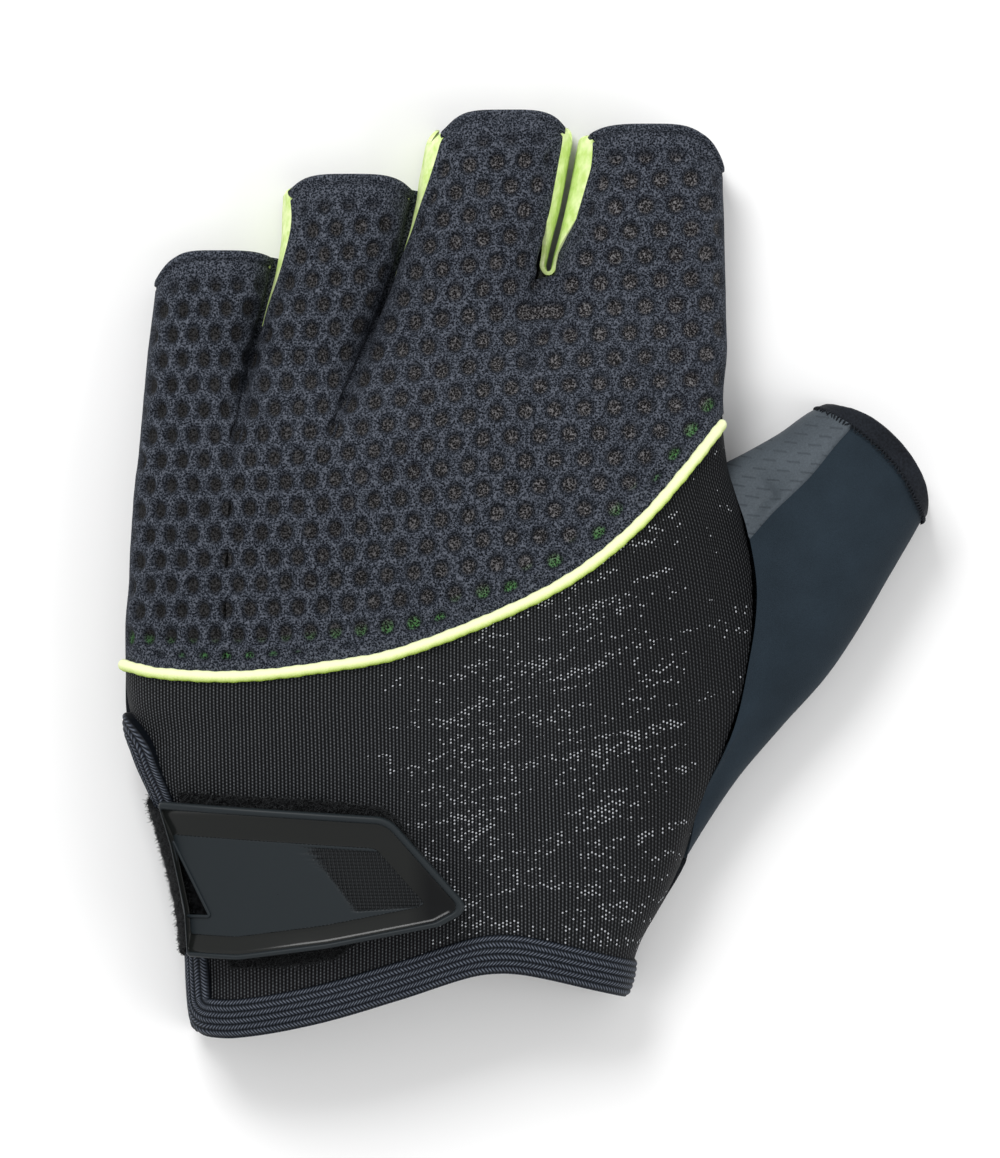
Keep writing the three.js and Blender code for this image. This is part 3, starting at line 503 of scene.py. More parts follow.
class Shape:
    """Vertices, faces, uv coordinates and a mark for the finish of one piece, gathered part by part."""

    def __init__(self):
        self.points, self.faces, self.uvs, self.marks, self.count = [], [], [], [], 0

    def add(self, points, faces, uv=None, mark=0.0):
        flat = above_floor(points.reshape(-1, 3))
        self.points.append(flat)
        self.faces.append(faces + self.count)
        self.uvs.append(np.zeros((len(flat), 2)) if uv is None else uv.reshape(-1, 2))
        self.marks.append(np.broadcast_to(mark, points.shape[:-1]).reshape(-1))
        self.count += len(flat)

    # Tube given as stations of points round its line
    def add_tube(self, stations, mark=0.0):
        count, sides = stations.shape[:2]
        self.add(stations.swapaxes(0, 1), grid_faces(sides, count, ring=True), mark=mark)

    # Outer face, walls at its open edges and an inner face on every few points of the grid
    def add_sheet(
        self, outer, normal, wall, uv=None, mark=0.0, keep=None, ring=False, flip=False, stride=4
    ):
        columns, rows = outer.shape[:2]
        faces = grid_faces(columns, rows, keep, ring, flip)
        self.add(outer, faces, uv, mark)
        edges = np.concatenate([faces[:, [k, (k + 1) % 4]] for k in range(4)])
        keys = np.sort(edges, axis=1)
        _, first, counts = np.unique(keys, axis=0, return_index=True, return_counts=True)
        used, inverse = np.unique(edges[first[counts == 1]], return_inverse=True)
        a, b = inverse.reshape(-1, 2).T
        upper = outer.reshape(-1, 3)[used]
        lower = upper - normal.reshape(-1, 3)[used] * wall
        count = len(used)
        self.add(np.concatenate([upper, lower]), np.stack([b, a, a + count, b + count], axis=1))
        i = np.append(np.arange(0, columns, stride), columns - 1)
        j = np.append(np.arange(0, rows, stride), rows - 1)
        if keep is not None:
            i = np.append(i, np.nonzero((keep[1:] != keep[:-1]).any(axis=1))[0] + 1)
            j = np.append(j, np.nonzero((keep[:, 1:] != keep[:, :-1]).any(axis=0))[0] + 1)
        i, j = np.unique(i), np.unique(j)
        inner = (outer - normal * wall)[np.ix_(i, j)]
        kept = None if keep is None else keep[np.ix_(i[:-1], j[:-1])]
        self.add(inner, grid_faces(len(i), len(j), kept, ring, not flip))

    def make(self, name, material, nodes):
        mesh = bpy.data.meshes.new(name)
        faces = np.concatenate(self.faces)
        mesh.from_pydata(to_frame(np.concatenate(self.points)).tolist(), [], faces.tolist())
        layer = mesh.uv_layers.new(name="cloth")
        loops = np.zeros(len(mesh.loops), np.int32)
        mesh.loops.foreach_get("vertex_index", loops)
        layer.data.foreach_set("uv", np.concatenate(self.uvs)[loops].astype(np.float32).reshape(-1))
        mesh.polygons.foreach_set("use_smooth", np.ones(len(mesh.polygons), bool))
        marked = mesh.attributes.new("mark", "FLOAT", "POINT")
        marked.data.foreach_set("value", np.concatenate(self.marks).astype(np.float32))
        mesh.materials.append(material)
        piece = bpy.data.objects.new(name, mesh)
        bpy.context.scene.collection.objects.link(piece)
        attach(piece, "root")
        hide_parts(*nodes)


def grid(columns, rows):
    return np.meshgrid(np.linspace(0, 1, columns + 1), np.linspace(0, 1, rows + 1), indexing="ij")


# Node trees of the finishes
def node_math(operation, turned=False):
    def apply(value, other=0.0):
        a, b = (other, value) if turned else (value, other)
        return value.finish.value("ShaderNodeMath", {0: a, 1: b}, operation=operation)

    return apply


class Value:
    """An output of a finish's node tree; arithmetic with it adds math nodes."""

    def __init__(self, finish, socket):
        self.finish, self.socket = finish, socket

    __add__ = node_math("ADD")
    __sub__ = node_math("SUBTRACT")
    __rsub__ = node_math("SUBTRACT", turned=True)
    __mul__ = node_math("MULTIPLY")
    __truediv__ = node_math("DIVIDE")
    __pow__ = node_math("POWER")
    __lt__ = node_math("LESS_THAN")
    __gt__ = node_math("GREATER_THAN")
    __abs__ = node_math("ABSOLUTE")
    cosine = node_math("COSINE")
    sine = node_math("SINE")
    floor = node_math("FLOOR")
    fraction = node_math("FRACT")
    at_most = node_math("MINIMUM")


class Finish:
    """A material's node tree, built from a few small steps."""

    def __init__(self, name, color, roughness):
        self.material = bpy.data.materials.new(name)
        self.material.use_nodes = True
        self.nodes = self.material.node_tree.nodes
        self.links = self.material.node_tree.links
        self.shader = self.nodes["Principled BSDF"]
        self.shader.inputs["Base Color"].default_value = (*color, 1)
        self.shader.inputs["Roughness"].default_value = roughness

    # Links an input to an output of the tree, or sets it to a number or a colour
    def feed(self, entry, value):
        value = getattr(value, "socket", value)
        if isinstance(value, bpy.types.NodeSocket):
            self.links.new(value, entry)
        else:
            entry.default_value = (*value, 1) if hasattr(value, "__len__") else value

    def node(self, kind, inputs, **settings):
        made = self.nodes.new(kind)
        for key, value in settings.items():
            setattr(made, key, value)
        for key, value in inputs.items():
            self.feed(made.inputs[key], value)
        return made

    def value(self, kind, inputs, output=0, **settings):
        return Value(self, self.node(kind, inputs, **settings).outputs[output])

    def uv(self):
        whole = self.value("ShaderNodeUVMap", {}, "UV", uv_map="cloth")
        parts = self.node("ShaderNodeSeparateXYZ", {0: whole}).outputs
        return Value(self, parts[0]), Value(self, parts[1])

    def mark(self):
        return self.value("ShaderNodeAttribute", {}, "Fac", attribute_name="mark")

    # Place in the part's frame, in millimetres
    def place(self):
        place = self.value("ShaderNodeTexCoord", {}, "Object")
        return self.value("ShaderNodeVectorMath", {0: place, 3: 1 / MM}, operation="SCALE")

    def join(self, x, y):
        return self.value("ShaderNodeCombineXYZ", {0: x, 1: y})

    def noise(self, vector, scale, detail=3.0, roughness=0.55):
        inputs = {"Vector": vector, "Scale": scale, "Detail": detail, "Roughness": roughness}
        return self.value("ShaderNodeTexNoise", inputs, "Fac")

    def ramp(self, fac, *stops):
        made = self.node("ShaderNodeValToRGB", {"Fac": fac})
        elements = made.color_ramp.elements
        while len(elements) < len(stops):
            elements.new(0.5)
        for element, (at, color) in zip(elements, stops):
            element.position = at
            element.color = (*color, 1) if hasattr(color, "__len__") else (color, color, color, 1)
        return Value(self, made.outputs["Color"])

    def mix(self, fac, a, b):
        return self.value("ShaderNodeMix", {0: fac, 6: a, 7: b}, 2, data_type="RGBA")

    def color(self, value):
        self.feed(self.shader.inputs["Base Color"], value)

    def bump(self, height, distance_mm, strength):
        inputs = {"Height": height, "Distance": distance_mm * MM, "Strength": strength}
        before = self.shader.inputs["Normal"]
        if before.is_linked:
            inputs["Normal"] = before.links[0].from_socket
        self.feed(before, self.value("ShaderNodeBump", inputs, "Normal"))

    def set(self, **values):
        for key, value in values.items():
            name = key.replace("_", " ").title().replace("Ior", "IOR")
            self.shader.inputs[name].default_value = value


# Grid over the four fingers; the cells between neighbours stop at the crotch
FINGER_CELLS = 92
HAND_ROWS = 150
FINGER_ROWS = 66
SIDE_SEAM_ANGLE = -15.0
FAR_FROM_SIDES = 9
CROTCH_FADE_ROWS = 12
MESH_JOIN_START = 10.0
MESH_JOIN_END = 25.0


def across_fingers(angles_of, first_line, cells, hand_rows, finger_rows, back):
    blocks = []
    share = np.linspace(0, 1, cells + 1)
    row = np.arange(hand_rows + finger_rows + 1)
    on_hand = np.clip(row / hand_rows, 0, 1)
    on_finger = np.clip((row - hand_rows) / finger_rows, 0, 1)
    for finger in range(4):

        def angle_at(y, across=share):
            left, right = angles_of(finger, y)
            return lerp(left, right, across)

        def point_at(y):
            return hand_point(finger, y, angle_at(y), back)

        def tip_line(x):
            return tip_y(finger, angle_at(np.full(x.shape, GLOVE_LENGTH)), back)

        first = meeting(point_at, first_line, True)[:, None]
        crotch = meeting(point_at, crotch_y, True)[:, None]
        tip = meeting(point_at, tip_line, True)[:, None]
        y = lerp(first, crotch, on_hand) + (tip - crotch) * on_finger
        blocks.append(hand_point(finger, y, angle_at(y, share[:, None]), back))
    keep = np.ones((4 * cells + 3, hand_rows + finger_rows), bool)
    keep[cells :: cells + 1, hand_rows:] = False
    return np.concatenate(blocks), keep


def mesh_angles(finger, y):
    left, right = finger_sides(finger, y)
    from_crotch = y - crotch_y((left + right) / 2)
    past = smooth((from_crotch + MESH_JOIN_END) / (MESH_JOIN_END - MESH_JOIN_START))
    left_angle = right_angle = SIDE_SEAM_ANGLE + 0 * y
    if finger > 0:
        left_angle = past * read(GUSSET_EDGES[finger - 1], finger_share(finger, y), "angle")
    if finger < 3:
        right_angle = past * GUSSET_RIGHT_ANGLES[finger]
    return np.radians(180 - left_angle), np.radians(right_angle)


def piping_edge(x, side):
    slope = piping_y(x + 0.5) - piping_y(x - 0.5)
    return piping_y(x) + side * PIPING_WIDTH / 2 * np.hypot(1, slope)


# Distance from the nearest open side of each finger, large on the hand
def finger_side_distance(points, cells, hand_rows):
    blocks = []
    for finger in range(4):
        block = points[finger * (cells + 1) : (finger + 1) * (cells + 1)]
        run = run_length(block, 0)
        blocks.append(np.minimum(run, run[-1:] - run))
    distance = np.concatenate(blocks)
    row = np.arange(points.shape[1])[None, :]
    on_hand = smooth((hand_rows + CROTCH_FADE_ROWS / 2 - row) / CROTCH_FADE_ROWS)
    return distance + FAR_FROM_SIDES * on_hand


# Honeycomb of dimples: columns widen towards the thumb side and rows climb a little to the right
DIMPLE_LEFT = -50.4
DIMPLE_PITCH = 3.9
DIMPLE_WIDENING = 0.0188
DIMPLE_ROW = 4.5
DIMPLE_DEPTH = 0.95
DIMPLE_HALF_WIDTH = 0.41
DIMPLE_HALF_HEIGHT = 0.50
DIMPLE_TIP_FADE = (2.5, 5)
DIMPLE_PIPING_FADE = (1.2, 2.5)
DIMPLE_SIDE_FADE = (1, 3)
DIMPLE_UPRIGHT = 0.4
DIMPLE_CLIMB = table("x y", (-50, 0), (-23, 0.7), (0, 2.6), (13, 4.0), (40, 5.2))


def dimples(x, y):
    widened = np.maximum(0.2, 1 + DIMPLE_WIDENING * (x - DIMPLE_LEFT) / DIMPLE_PITCH)
    u = np.log(widened) / DIMPLE_WIDENING
    v = (y - read(DIMPLE_CLIMB, x, "y", "x")) / DIMPLE_ROW
    best = np.full(x.shape, 9.0)
    for step in (-1, 0, 1):
        row = np.round(v) + step
        shifted = u - 0.5 * np.mod(row, 2)
        across = (shifted - np.round(shifted)) / DIMPLE_HALF_WIDTH
        best = np.minimum(best, np.hypot(across, (v - row) / DIMPLE_HALF_HEIGHT))
    return 1 - smooth((best - 0.35) / 0.75)


def soft_noise(x, y, size, seed):
    random = np.random.default_rng(seed)
    total = np.zeros(x.shape)
    for octave in range(5):
        turn = random.uniform(0, 2 * math.pi, 2)
        wave = 2 * math.pi / (size * (0.6 + 0.25 * octave))
        total += np.sin(wave * (x * math.cos(turn[0]) + y * math.sin(turn[0])) + turn[1])
    return total / 5


MESH_WALL = 1.9
MESH_LAP = 0.5
FOLD_WIDTH = 1.5
FOLD_LIFT = 0.3
FOLD_CREASE_AT = 1.75
FOLD_CREASE_WIDTH = 0.25
FOLD_CREASE_DEPTH = 0.6
TIP_ROLL = 0.7
SIDE_ROLL = 0.9


def make_mesh_panel(material):
    def first_line(x):
        return piping_edge(x, 1) - MESH_LAP

    points, keep = across_fingers(mesh_angles, first_line, FINGER_CELLS, HAND_ROWS, FINGER_ROWS, True)
    normal = normals(points)
    from_piping = run_length(points, 1)
    to_tip = from_piping[:, -1:] - from_piping
    side = finger_side_distance(points, FINGER_CELLS, HAND_ROWS)
    x, y = points[..., 0], points[..., 1]
    hollow = dimples(x, y)
    hollow *= fade_in(to_tip, *DIMPLE_TIP_FADE) * fade_in(from_piping, *DIMPLE_PIPING_FADE)
    hollow *= fade_in(side, *DIMPLE_SIDE_FADE) * np.clip(normal[..., 2] / DIMPLE_UPRIGHT, 0, 1)
    lift = -DIMPLE_DEPTH * hollow + 0.25 * soft_noise(x, y, size=14, seed=3)
    crease = np.exp(-(((to_tip - FOLD_CREASE_AT) / FOLD_CREASE_WIDTH) ** 2))
    lift += FOLD_LIFT * smooth((FOLD_WIDTH - to_tip) / 0.3) - FOLD_CREASE_DEPTH * crease
    lift += roll(to_tip, TIP_ROLL) + roll(side, SIDE_ROLL)
    uv = np.stack([x, from_piping], axis=-1)
    shape = Shape()
    shape.add_sheet(points + normal * lift[..., None], normal, MESH_WALL, uv, hollow, keep)
    shape.make("back_mesh", material, ["back_mesh_panel"])


# Section round the wrist, from the right seam over the back and the left side to the palm
def round_point(y, turn):
    on_back = turn <= math.pi + SEAM_ANGLE
    return np.where(on_back[..., None], back_point(y, turn), under_point(y, turn - SEAM_ANGLE))


def seam_reach(y):
    return SEAM_ANGLE * (widest(y) + FLOOR_SINK)


def turn_at(y, distance):
    up = math.pi - distance / (crown_height(y) - widest(y))
    near = math.pi - distance / (widest(y) + FLOOR_SINK)
    past = -distance - seam_reach(y)
    far = math.pi + SEAM_ANGLE + past / (side_seam(y) + FLOOR_SINK)
    return np.where(distance >= 0, up, np.where(past > 0, far, near))


def wrist_y(x, under):
    low, high = left_edge(0.0), right_edge(0.0)
    share = np.clip((x - low) / (high - low), 0, 1)
    return hem_y(x) + np.where(under, PALM_RISE * np.sin(math.pi * share), 0)


def slit_reach(y, clearance):
    reach = SLIT_GAP / 2 + BINDING_WIDTH
    above = np.maximum(0, y - hem_y(left_edge(0.0)) - SLIT_TOP)
    share = np.minimum(1, above / (reach + clearance + SLIT_EASE))
    eased = clearance * smooth(share / SLIT_EASE_SHARE)
    return (reach + eased + seam_reach(y)) * (1 - share**3) - seam_reach(y)


KNIT_CELLS = (380, 150)
KNIT_WALL = 1.1
KNIT_PITCH = 0.68
COURSE_PITCH = 0.62
KNIT_HEIGHT = 60.0
KNIT_MIDDLE = 0.48
KNIT_TURN = 0.85
KNIT_LAP = 0.6
KNIT_HEM_LAP = 0.8
KNIT_EASING = 12


# Gaussian mean along the rows of a grid of points, fading out at its first and last rows
def eased(points, sigma):
    reach = 3 * sigma
    weights = np.exp(-0.5 * (np.arange(-reach, reach + 1) / sigma) ** 2)
    padded = np.pad(points, ((0, 0), (reach, reach), (0, 0)), mode="edge")
    rows = points.shape[1]
    mean = sum(w * padded[:, k : k + rows] for k, w in enumerate(weights / weights.sum()))
    row = np.arange(rows)
    fade = smooth(np.minimum(row, rows - 1 - row) / reach)
    return lerp(points, mean, fade[None, :, None])


def make_knit_panel(material):
    i, j = grid(*KNIT_CELLS)

    def point_at(y, share=i[:, 0]):
        left = np.clip(share / KNIT_MIDDLE, 0, 1)
        right = np.clip((share - KNIT_MIDDLE) / (1 - KNIT_MIDDLE), 0, 1)
        on_left = lerp(turn_at(y, slit_reach(y, -KNIT_LAP)), math.pi / 2, left)
        across = crown_x(y) + (right_edge(y) - crown_x(y)) * np.minimum(right, KNIT_TURN)
        past = np.clip((right - KNIT_TURN) / (1 - KNIT_TURN), 0, 1)
        on_right = lerp(angle_across(y, across, True), right_half(y)[1], past)
        return back_point(y, np.where(share < KNIT_MIDDLE, on_left, on_right))

    low = meeting(point_at, lambda x: hem_y(x) + BINDING_WIDTH - KNIT_HEM_LAP, False)[:, None]
    high = meeting(point_at, lambda x: piping_edge(x, -1) + KNIT_LAP, False)[:, None]
    points = eased(point_at(lerp(low, high, j), i), KNIT_EASING)
    normal = normals(points)
    x, y = points[..., 0], points[..., 1]
    run = run_length(points, 0)
    middle = np.array([np.interp(0.0, x[:, k], run[:, k]) for k in range(x.shape[1])])
    ribs = (run - middle) / KNIT_PITCH
    uv = np.stack([ribs, (y + j * KNIT_HEIGHT) / 2 / COURSE_PITCH], axis=-1)
    lift = 0.25 * soft_noise(x, y, size=18, seed=5) - 0.15
    shape = Shape()
    shape.add_sheet(points + normal * lift[..., None], normal, KNIT_WALL, uv)
    shape.make("back_knit", material, ["back_knit_panel"])


def tube(centre, normal, radius, sides, closed=False):
    tangent = np.gradient(centre, axis=0)
    if closed:
        tangent = (np.roll(centre, -1, axis=0) - np.roll(centre, 1, axis=0)) / 2
    tangent = unit(tangent)
    across = unit(np.cross(tangent, normal))
    up = np.cross(across, tangent)
    turn = np.linspace(0, FULL_TURN, sides, endpoint=False)
    radius = np.broadcast_to(radius, (len(centre),))[:, None, None]
    ring = np.cos(turn)[None, :, None] * across[:, None] + np.sin(turn)[None, :, None] * up[:, None]
    return centre[:, None] + radius * ring, turn


def back_normal(y, angle):
    e = 0.01
    along = back_point(y, angle + e) - back_point(y, angle - e)
    up = back_point(y + e, angle) - back_point(y - e, angle)
    return unit(np.cross(up, along))


PIPING_END = 52.5
PIPING_STATIONS = 420
PIPING_SIDES = 20
PIPING_RADIUS = 1.02
PIPING_LIFT = 0.25
PIPING_TAPER = 1.2


def make_piping(material):
    left_angle = np.linspace(math.pi + SEAM_ANGLE, math.pi / 2, 300)
    left_y = meeting(lambda y: back_point(y, left_angle), piping_y, False)
    right_x = np.linspace(float(crown_x(left_y[-1])), PIPING_END, 400)[1:]
    right_y = piping_y(right_x)
    y = np.concatenate([left_y, right_y])
    angle = np.concatenate([left_angle, angle_across(right_y, right_x, True)])
    rough, rough_normal = back_point(y, angle), back_normal(y, angle)
    run = run_length(rough[:, None], 0)[:, 0]
    distance = np.linspace(0, run[-1], PIPING_STATIONS)
    centre = np.stack([np.interp(distance, run, rough[:, k]) for k in range(3)], axis=-1)
    normal = np.stack([np.interp(distance, run, rough_normal[:, k]) for k in range(3)], axis=-1)
    wobble = 0.05 * np.sin(distance * 1.1) + 0.04 * np.sin(distance * 2.7 + 1)
    to_end = np.minimum(distance, distance[-1] - distance)
    radius = (PIPING_RADIUS + wobble) * np.sqrt(np.clip(to_end / PIPING_TAPER, 0.05, 1))
    ring, turn = tube(centre + normal * PIPING_LIFT, normal, radius, PIPING_SIDES)
    # Painted light: the mark is 0 on the side of the cord towards +y and 1 on the side towards -y. The finish
    # paints the first side pale as a highlight and the second dark as shade.
    lower = np.broadcast_to(0.5 + 0.5 * np.cos(turn), ring.shape[:2])
    shape = Shape()
    shape.add_tube(ring, lower.T)
    shape.make("piping_cord", material, ["piping"])


PALM_CELLS = 34
PALM_HAND_ROWS = 80
PALM_FINGER_ROWS = 30
PALM_WALL = 1.4
PALM_LAP = 0.6


def make_palm(material):
    def angles_of(finger, y):
        right = 360.0 + SIDE_SEAM_ANGLE if finger == 3 else 360.0 - GUSSET_PALM_ANGLE
        if finger:
            return math.radians(180 + GUSSET_PALM_ANGLE), math.radians(right)
        past = np.maximum(0, slit_reach(y, 0.3) - seam_reach(y)) / (side_seam(y) + FLOOR_SINK)
        outside, inside = finger_sides(0, y)
        cell_turn = math.pi + angle_across(y, (outside + inside) / 2, False)
        return math.pi + SEAM_ANGLE + past / cell_turn * (math.pi / 2 - SEAM_ANGLE), math.radians(right)

    def first_line(x):
        return wrist_y(x, True) + BINDING_WIDTH - PALM_LAP

    points, keep = across_fingers(
        angles_of, first_line, PALM_CELLS, PALM_HAND_ROWS, PALM_FINGER_ROWS, False
    )
    normal = normals(points, flip=True)
    shape = Shape()
    shape.add_sheet(points, normal, PALM_WALL, points[..., :2], keep=keep, flip=True)
    shape.make("palm", material, ["palm_panel"])


GUSSET_SKIN = 0.7
GUSSET_LAP = 3


def make_gusset(finger, name, material):
    leg, turn, rows = 40, 16, 20

    def leg_points(side, share):
        on_left = side == finger
        share, across = np.meshgrid(share, np.linspace(0, 1, rows + 1), indexing="ij")
        tuck = smooth((share - CROTCH_TUCK_START) / (1 - CROTCH_TUCK_START))

        def angle_at(y):
            edge = GUSSET_RIGHT_ANGLES[finger] + 0.0 * y
            if not on_left:
                edge = read(GUSSET_EDGES[finger], finger_share(side, y), "angle")
            edge = edge + GUSSET_LAP - CROTCH_BACK_TUCK * tuck
            angle = lerp(edge, -GUSSET_PALM_ANGLE + CROTCH_PALM_TUCK * tuck, across)
            return np.radians(angle if on_left else 180 - angle)

        def line_at(x):
            tip = tip_y(side, angle_at(np.full(share.shape, GLOVE_LENGTH))) - 0.3
            return lerp(tip, crotch_y(x) + SEAM_GAP + GUSSET_WALL + CROTCH_RADIUS, share)

        start = np.full(share.shape, GLOVE_LENGTH * 0.9)
        return on_line(lambda y: finger_point(side, y, angle_at(y)), line_at, start)

    first = leg_points(finger, np.linspace(0, 1, leg + 1))
    last = leg_points(finger + 1, np.linspace(1, 0, leg + 1))
    round_share = np.linspace(0, 1, turn + 1)[1:-1, None, None]
    bend = lerp(first[-1:], last[:1], round_share)
    bend[..., 1] -= CROTCH_RADIUS * np.sin(math.pi * round_share[..., 0])
    points = np.concatenate([first, bend, last])
    normal = normals(points)
    lift = -0.25 + 0.15 * soft_noise(points[..., 1], points[..., 2] * 2, size=9, seed=finger)
    shape = Shape()
    shape.add_sheet(points + normal * lift[..., None], normal, GUSSET_SKIN, stride=2)
    shape.make("gusset_" + name, material, ["fourchette_" + name])


# Thumb surface: s runs from the seam in the hand (0) to the tip (1), the angle once round it from the web
def thumb_edge(edge, start_share, s):
    start = {"s": 0.0, "x": right_edge(start_share * GLOVE_LENGTH) / PALM_WIDTH, "y": start_share}
    rows = {key: np.insert(edge[key], 0, start[key]) for key in edge}
    return np.stack([PALM_WIDTH * read(rows, s, "x", "s"), GLOVE_LENGTH * read(rows, s, "y", "s")], axis=-1)


def upper_at(s):
    return thumb_edge(THUMB_UPPER, THUMB_WEB, s)


def lower_at(s):
    return thumb_edge(THUMB_LOWER, THUMB_HEEL, s)


def thumb_plan(s, t):
    seam_y = GLOVE_LENGTH * lerp(THUMB_WEB, THUMB_HEEL, t)
    seam = np.stack([right_edge(seam_y), seam_y], axis=-1)
    t, s = t[..., None], np.asarray(s)[..., None]
    out = (upper_at(1.0) - lower_at(1.0))[::-1] * np.array([1, -1])
    bulge = THUMB_TIP_BULGE * 4 * t * (1 - t) / np.linalg.norm(out)
    tip = lerp(upper_at(1.0), lower_at(1.0), t) + bulge * out
    upper_line = lerp(upper_at(0.0), upper_at(1.0), s)
    lower_line = lerp(lower_at(0.0), lower_at(1.0), s)
    edges = lerp(upper_at(s[..., 0]), lower_at(s[..., 0]), t)
    return lerp(seam, tip, s) + edges - lerp(upper_line, lower_line, t)


def thumb_point(s, angle):
    c = np.cos(angle)
    up = np.sin(angle) >= 0
    radius = super_radius(angle, np.where(up, TOP_ROUNDNESS, BOTTOM_ROUNDNESS))
    t = np.clip((1 - radius * c) / 2, 0, 1)
    plan = thumb_plan(s, t)
    seam_low = side_seam(GLOVE_LENGTH * lerp(THUMB_WEB, THUMB_HEEL, t))
    low = lerp(seam_low, THUMB_HEIGHT * FINGER_WIDEST_SHARE, s)
    top = lerp(THUMB_SEAM_HEIGHT, THUMB_HEIGHT, s) + THUMB_SWELL * np.sin(math.pi * s)
    height = np.where(up, top - low, low + FLOOR_SINK)
    return point(plan[..., 0], plan[..., 1], low + height * radius * np.sin(angle))


THUMB_LENGTH = float(np.linalg.norm(upper_at(1.0) - upper_at(0.0)))
LOWER_LENGTH = float(np.linalg.norm(lower_at(1.0) - lower_at(0.6)) / 0.4)
THUMB_CORNER_DROP = 2.2
THUMB_SEAM_LAP = 0.004
THUMB_HEM_LAP = 0.012
SUEDE_CELLS = (220, 130)
SUEDE_WALL = 1.1
SUEDE_LAP = 2
PATCH_CELLS = (110, 110)
PATCH_WALL = 1.5
PATCH_HOLLOW = (60.5, 97)
PATCH_HOLLOW_DEPTH = 1.5
PATCH_CREASE = (62.5, 96)
PATCH_CREASE_DEPTH = 0.7
PATCH_LIFT = 0.35
PATCH_ROLL = 0.5
HEM_CELLS = (240, 22)
HEM_WALL = 2.2
HEM_LIFT = 0.45
HEM_SEAM_ROLL = 0.6
HEM_END_ROLL = 0.9
HEM_STITCHES = 120


# Length of the thumb along the surface at an angle round it, between its upper and its lower edge
def thumb_length(angle):
    return lerp(THUMB_LENGTH, LOWER_LENGTH, (1 - np.cos(angle)) / 2)


def hem_start(angle):
    return 1 - THUMB_HEM_WIDTH / thumb_length(angle)


def thumb_grid(columns, rows, start, end):
    i, j = grid(columns, rows)
    angle = np.radians(lerp(start, end, i))
    return thumb_point(lerp(-THUMB_SEAM_LAP, hem_start(angle) + THUMB_HEM_LAP, j), angle)


def make_thumb_suede(material):
    end = 360 + PATCH_PALM_ANGLE + SUEDE_LAP
    points = thumb_grid(*SUEDE_CELLS, PATCH_BACK_ANGLE - SUEDE_LAP, end)
    normal = normals(points)
    lift = -0.15 + 0.2 * soft_noise(points[..., 0], points[..., 1], size=16, seed=8)
    shape = Shape()
    shape.add_sheet(points + normal * lift[..., None], normal, SUEDE_WALL, points[..., :2])
    shape.make("thumb_suede", material, ["thumb_panel"])


# The patch has a broad hollow and a short crease where the thumb meets the hand
def make_grip_patch(material):
    points = thumb_grid(*PATCH_CELLS, PATCH_PALM_ANGLE, PATCH_BACK_ANGLE)
    normal = normals(points)
    to_edge = run_length(points, 0)
    to_edge = to_edge[-1:] - to_edge
    x, y = points[..., 0], points[..., 1]
    hollow = np.exp(-((x - PATCH_HOLLOW[0]) ** 2 / 18 + (y - PATCH_HOLLOW[1]) ** 2 / 22))
    over_x, over_y = x - PATCH_CREASE[0], y - PATCH_CREASE[1]
    along, across = over_x * 0.8 + over_y * 0.6, over_y * 0.8 - over_x * 0.6
    crease = np.exp(-(along**2 / 0.9 + across**2 / 16))
    sunk = PATCH_HOLLOW_DEPTH * hollow + PATCH_CREASE_DEPTH * crease
    lift = PATCH_LIFT + roll(to_edge, PATCH_ROLL) - sunk * smooth(to_edge / 4)
    shape = Shape()
    shape.add_sheet(points + normal * lift[..., None], normal, PATCH_WALL, points[..., :2])
    shape.make("thumb_grip_patch", material, ["thumb_patch"])


def make_thumb_hem(material):
    i, j = grid(*HEM_CELLS)
    angle = np.radians(360 * i[:-1])
    across = (super_radius(angle, TOP_ROUNDNESS) * np.abs(np.cos(angle))) ** 6
    high = 1 - THUMB_CORNER_DROP * across / thumb_length(angle)
    points = thumb_point(lerp(hem_start(angle), high, j[:-1]), angle)
    normal = normals(points, ring=True)
    width = run_length(points, 1)
    lift = HEM_LIFT + roll(width, HEM_SEAM_ROLL) + roll(width[:, -1:] - width, HEM_END_ROLL)
    lift += 0.12 * soft_noise(points[..., 0], points[..., 1], size=2.2, seed=4)
    shape = Shape()
    shape.add_sheet(points + normal * lift[..., None], normal, HEM_WALL, ring=True, stride=2)
    line = points[:, 0] + normal[:, 0] * 0.35
    add_stitches(shape, line, normal[:, 0], HEM_STITCHES, length=1.3, radius=0.15, seed=12)
    shape.make("thumb_edge", material, ["thumb_hem"])


# Short loose threads laid across a seam line
def add_stitches(shape, line, normal, count, length, radius, seed):
    random = np.random.default_rng(seed)
    at = (np.arange(count) * len(line)) // count
    centre, up = line[at], normal[at]
    along = unit(np.roll(line, -1, axis=0)[at] - centre)
    across = np.cross(up, along)
    turn = random.uniform(-0.9, 0.9, count)[:, None]
    way = across * np.cos(turn) + along * np.sin(turn)
    share = np.linspace(-1, 1, 6)
    for k in range(count):
        arch = up[k] * ((1 - share**2) * radius * 1.6)[:, None]
        middle = centre[k] + way[k] * (share * length / 2)[:, None] + arch
        thread, _ = tube(middle, np.broadcast_to(up[k], middle.shape), radius * np.sqrt(1.05 - share**2), 6)
        shape.add_tube(thread, mark=1.0)


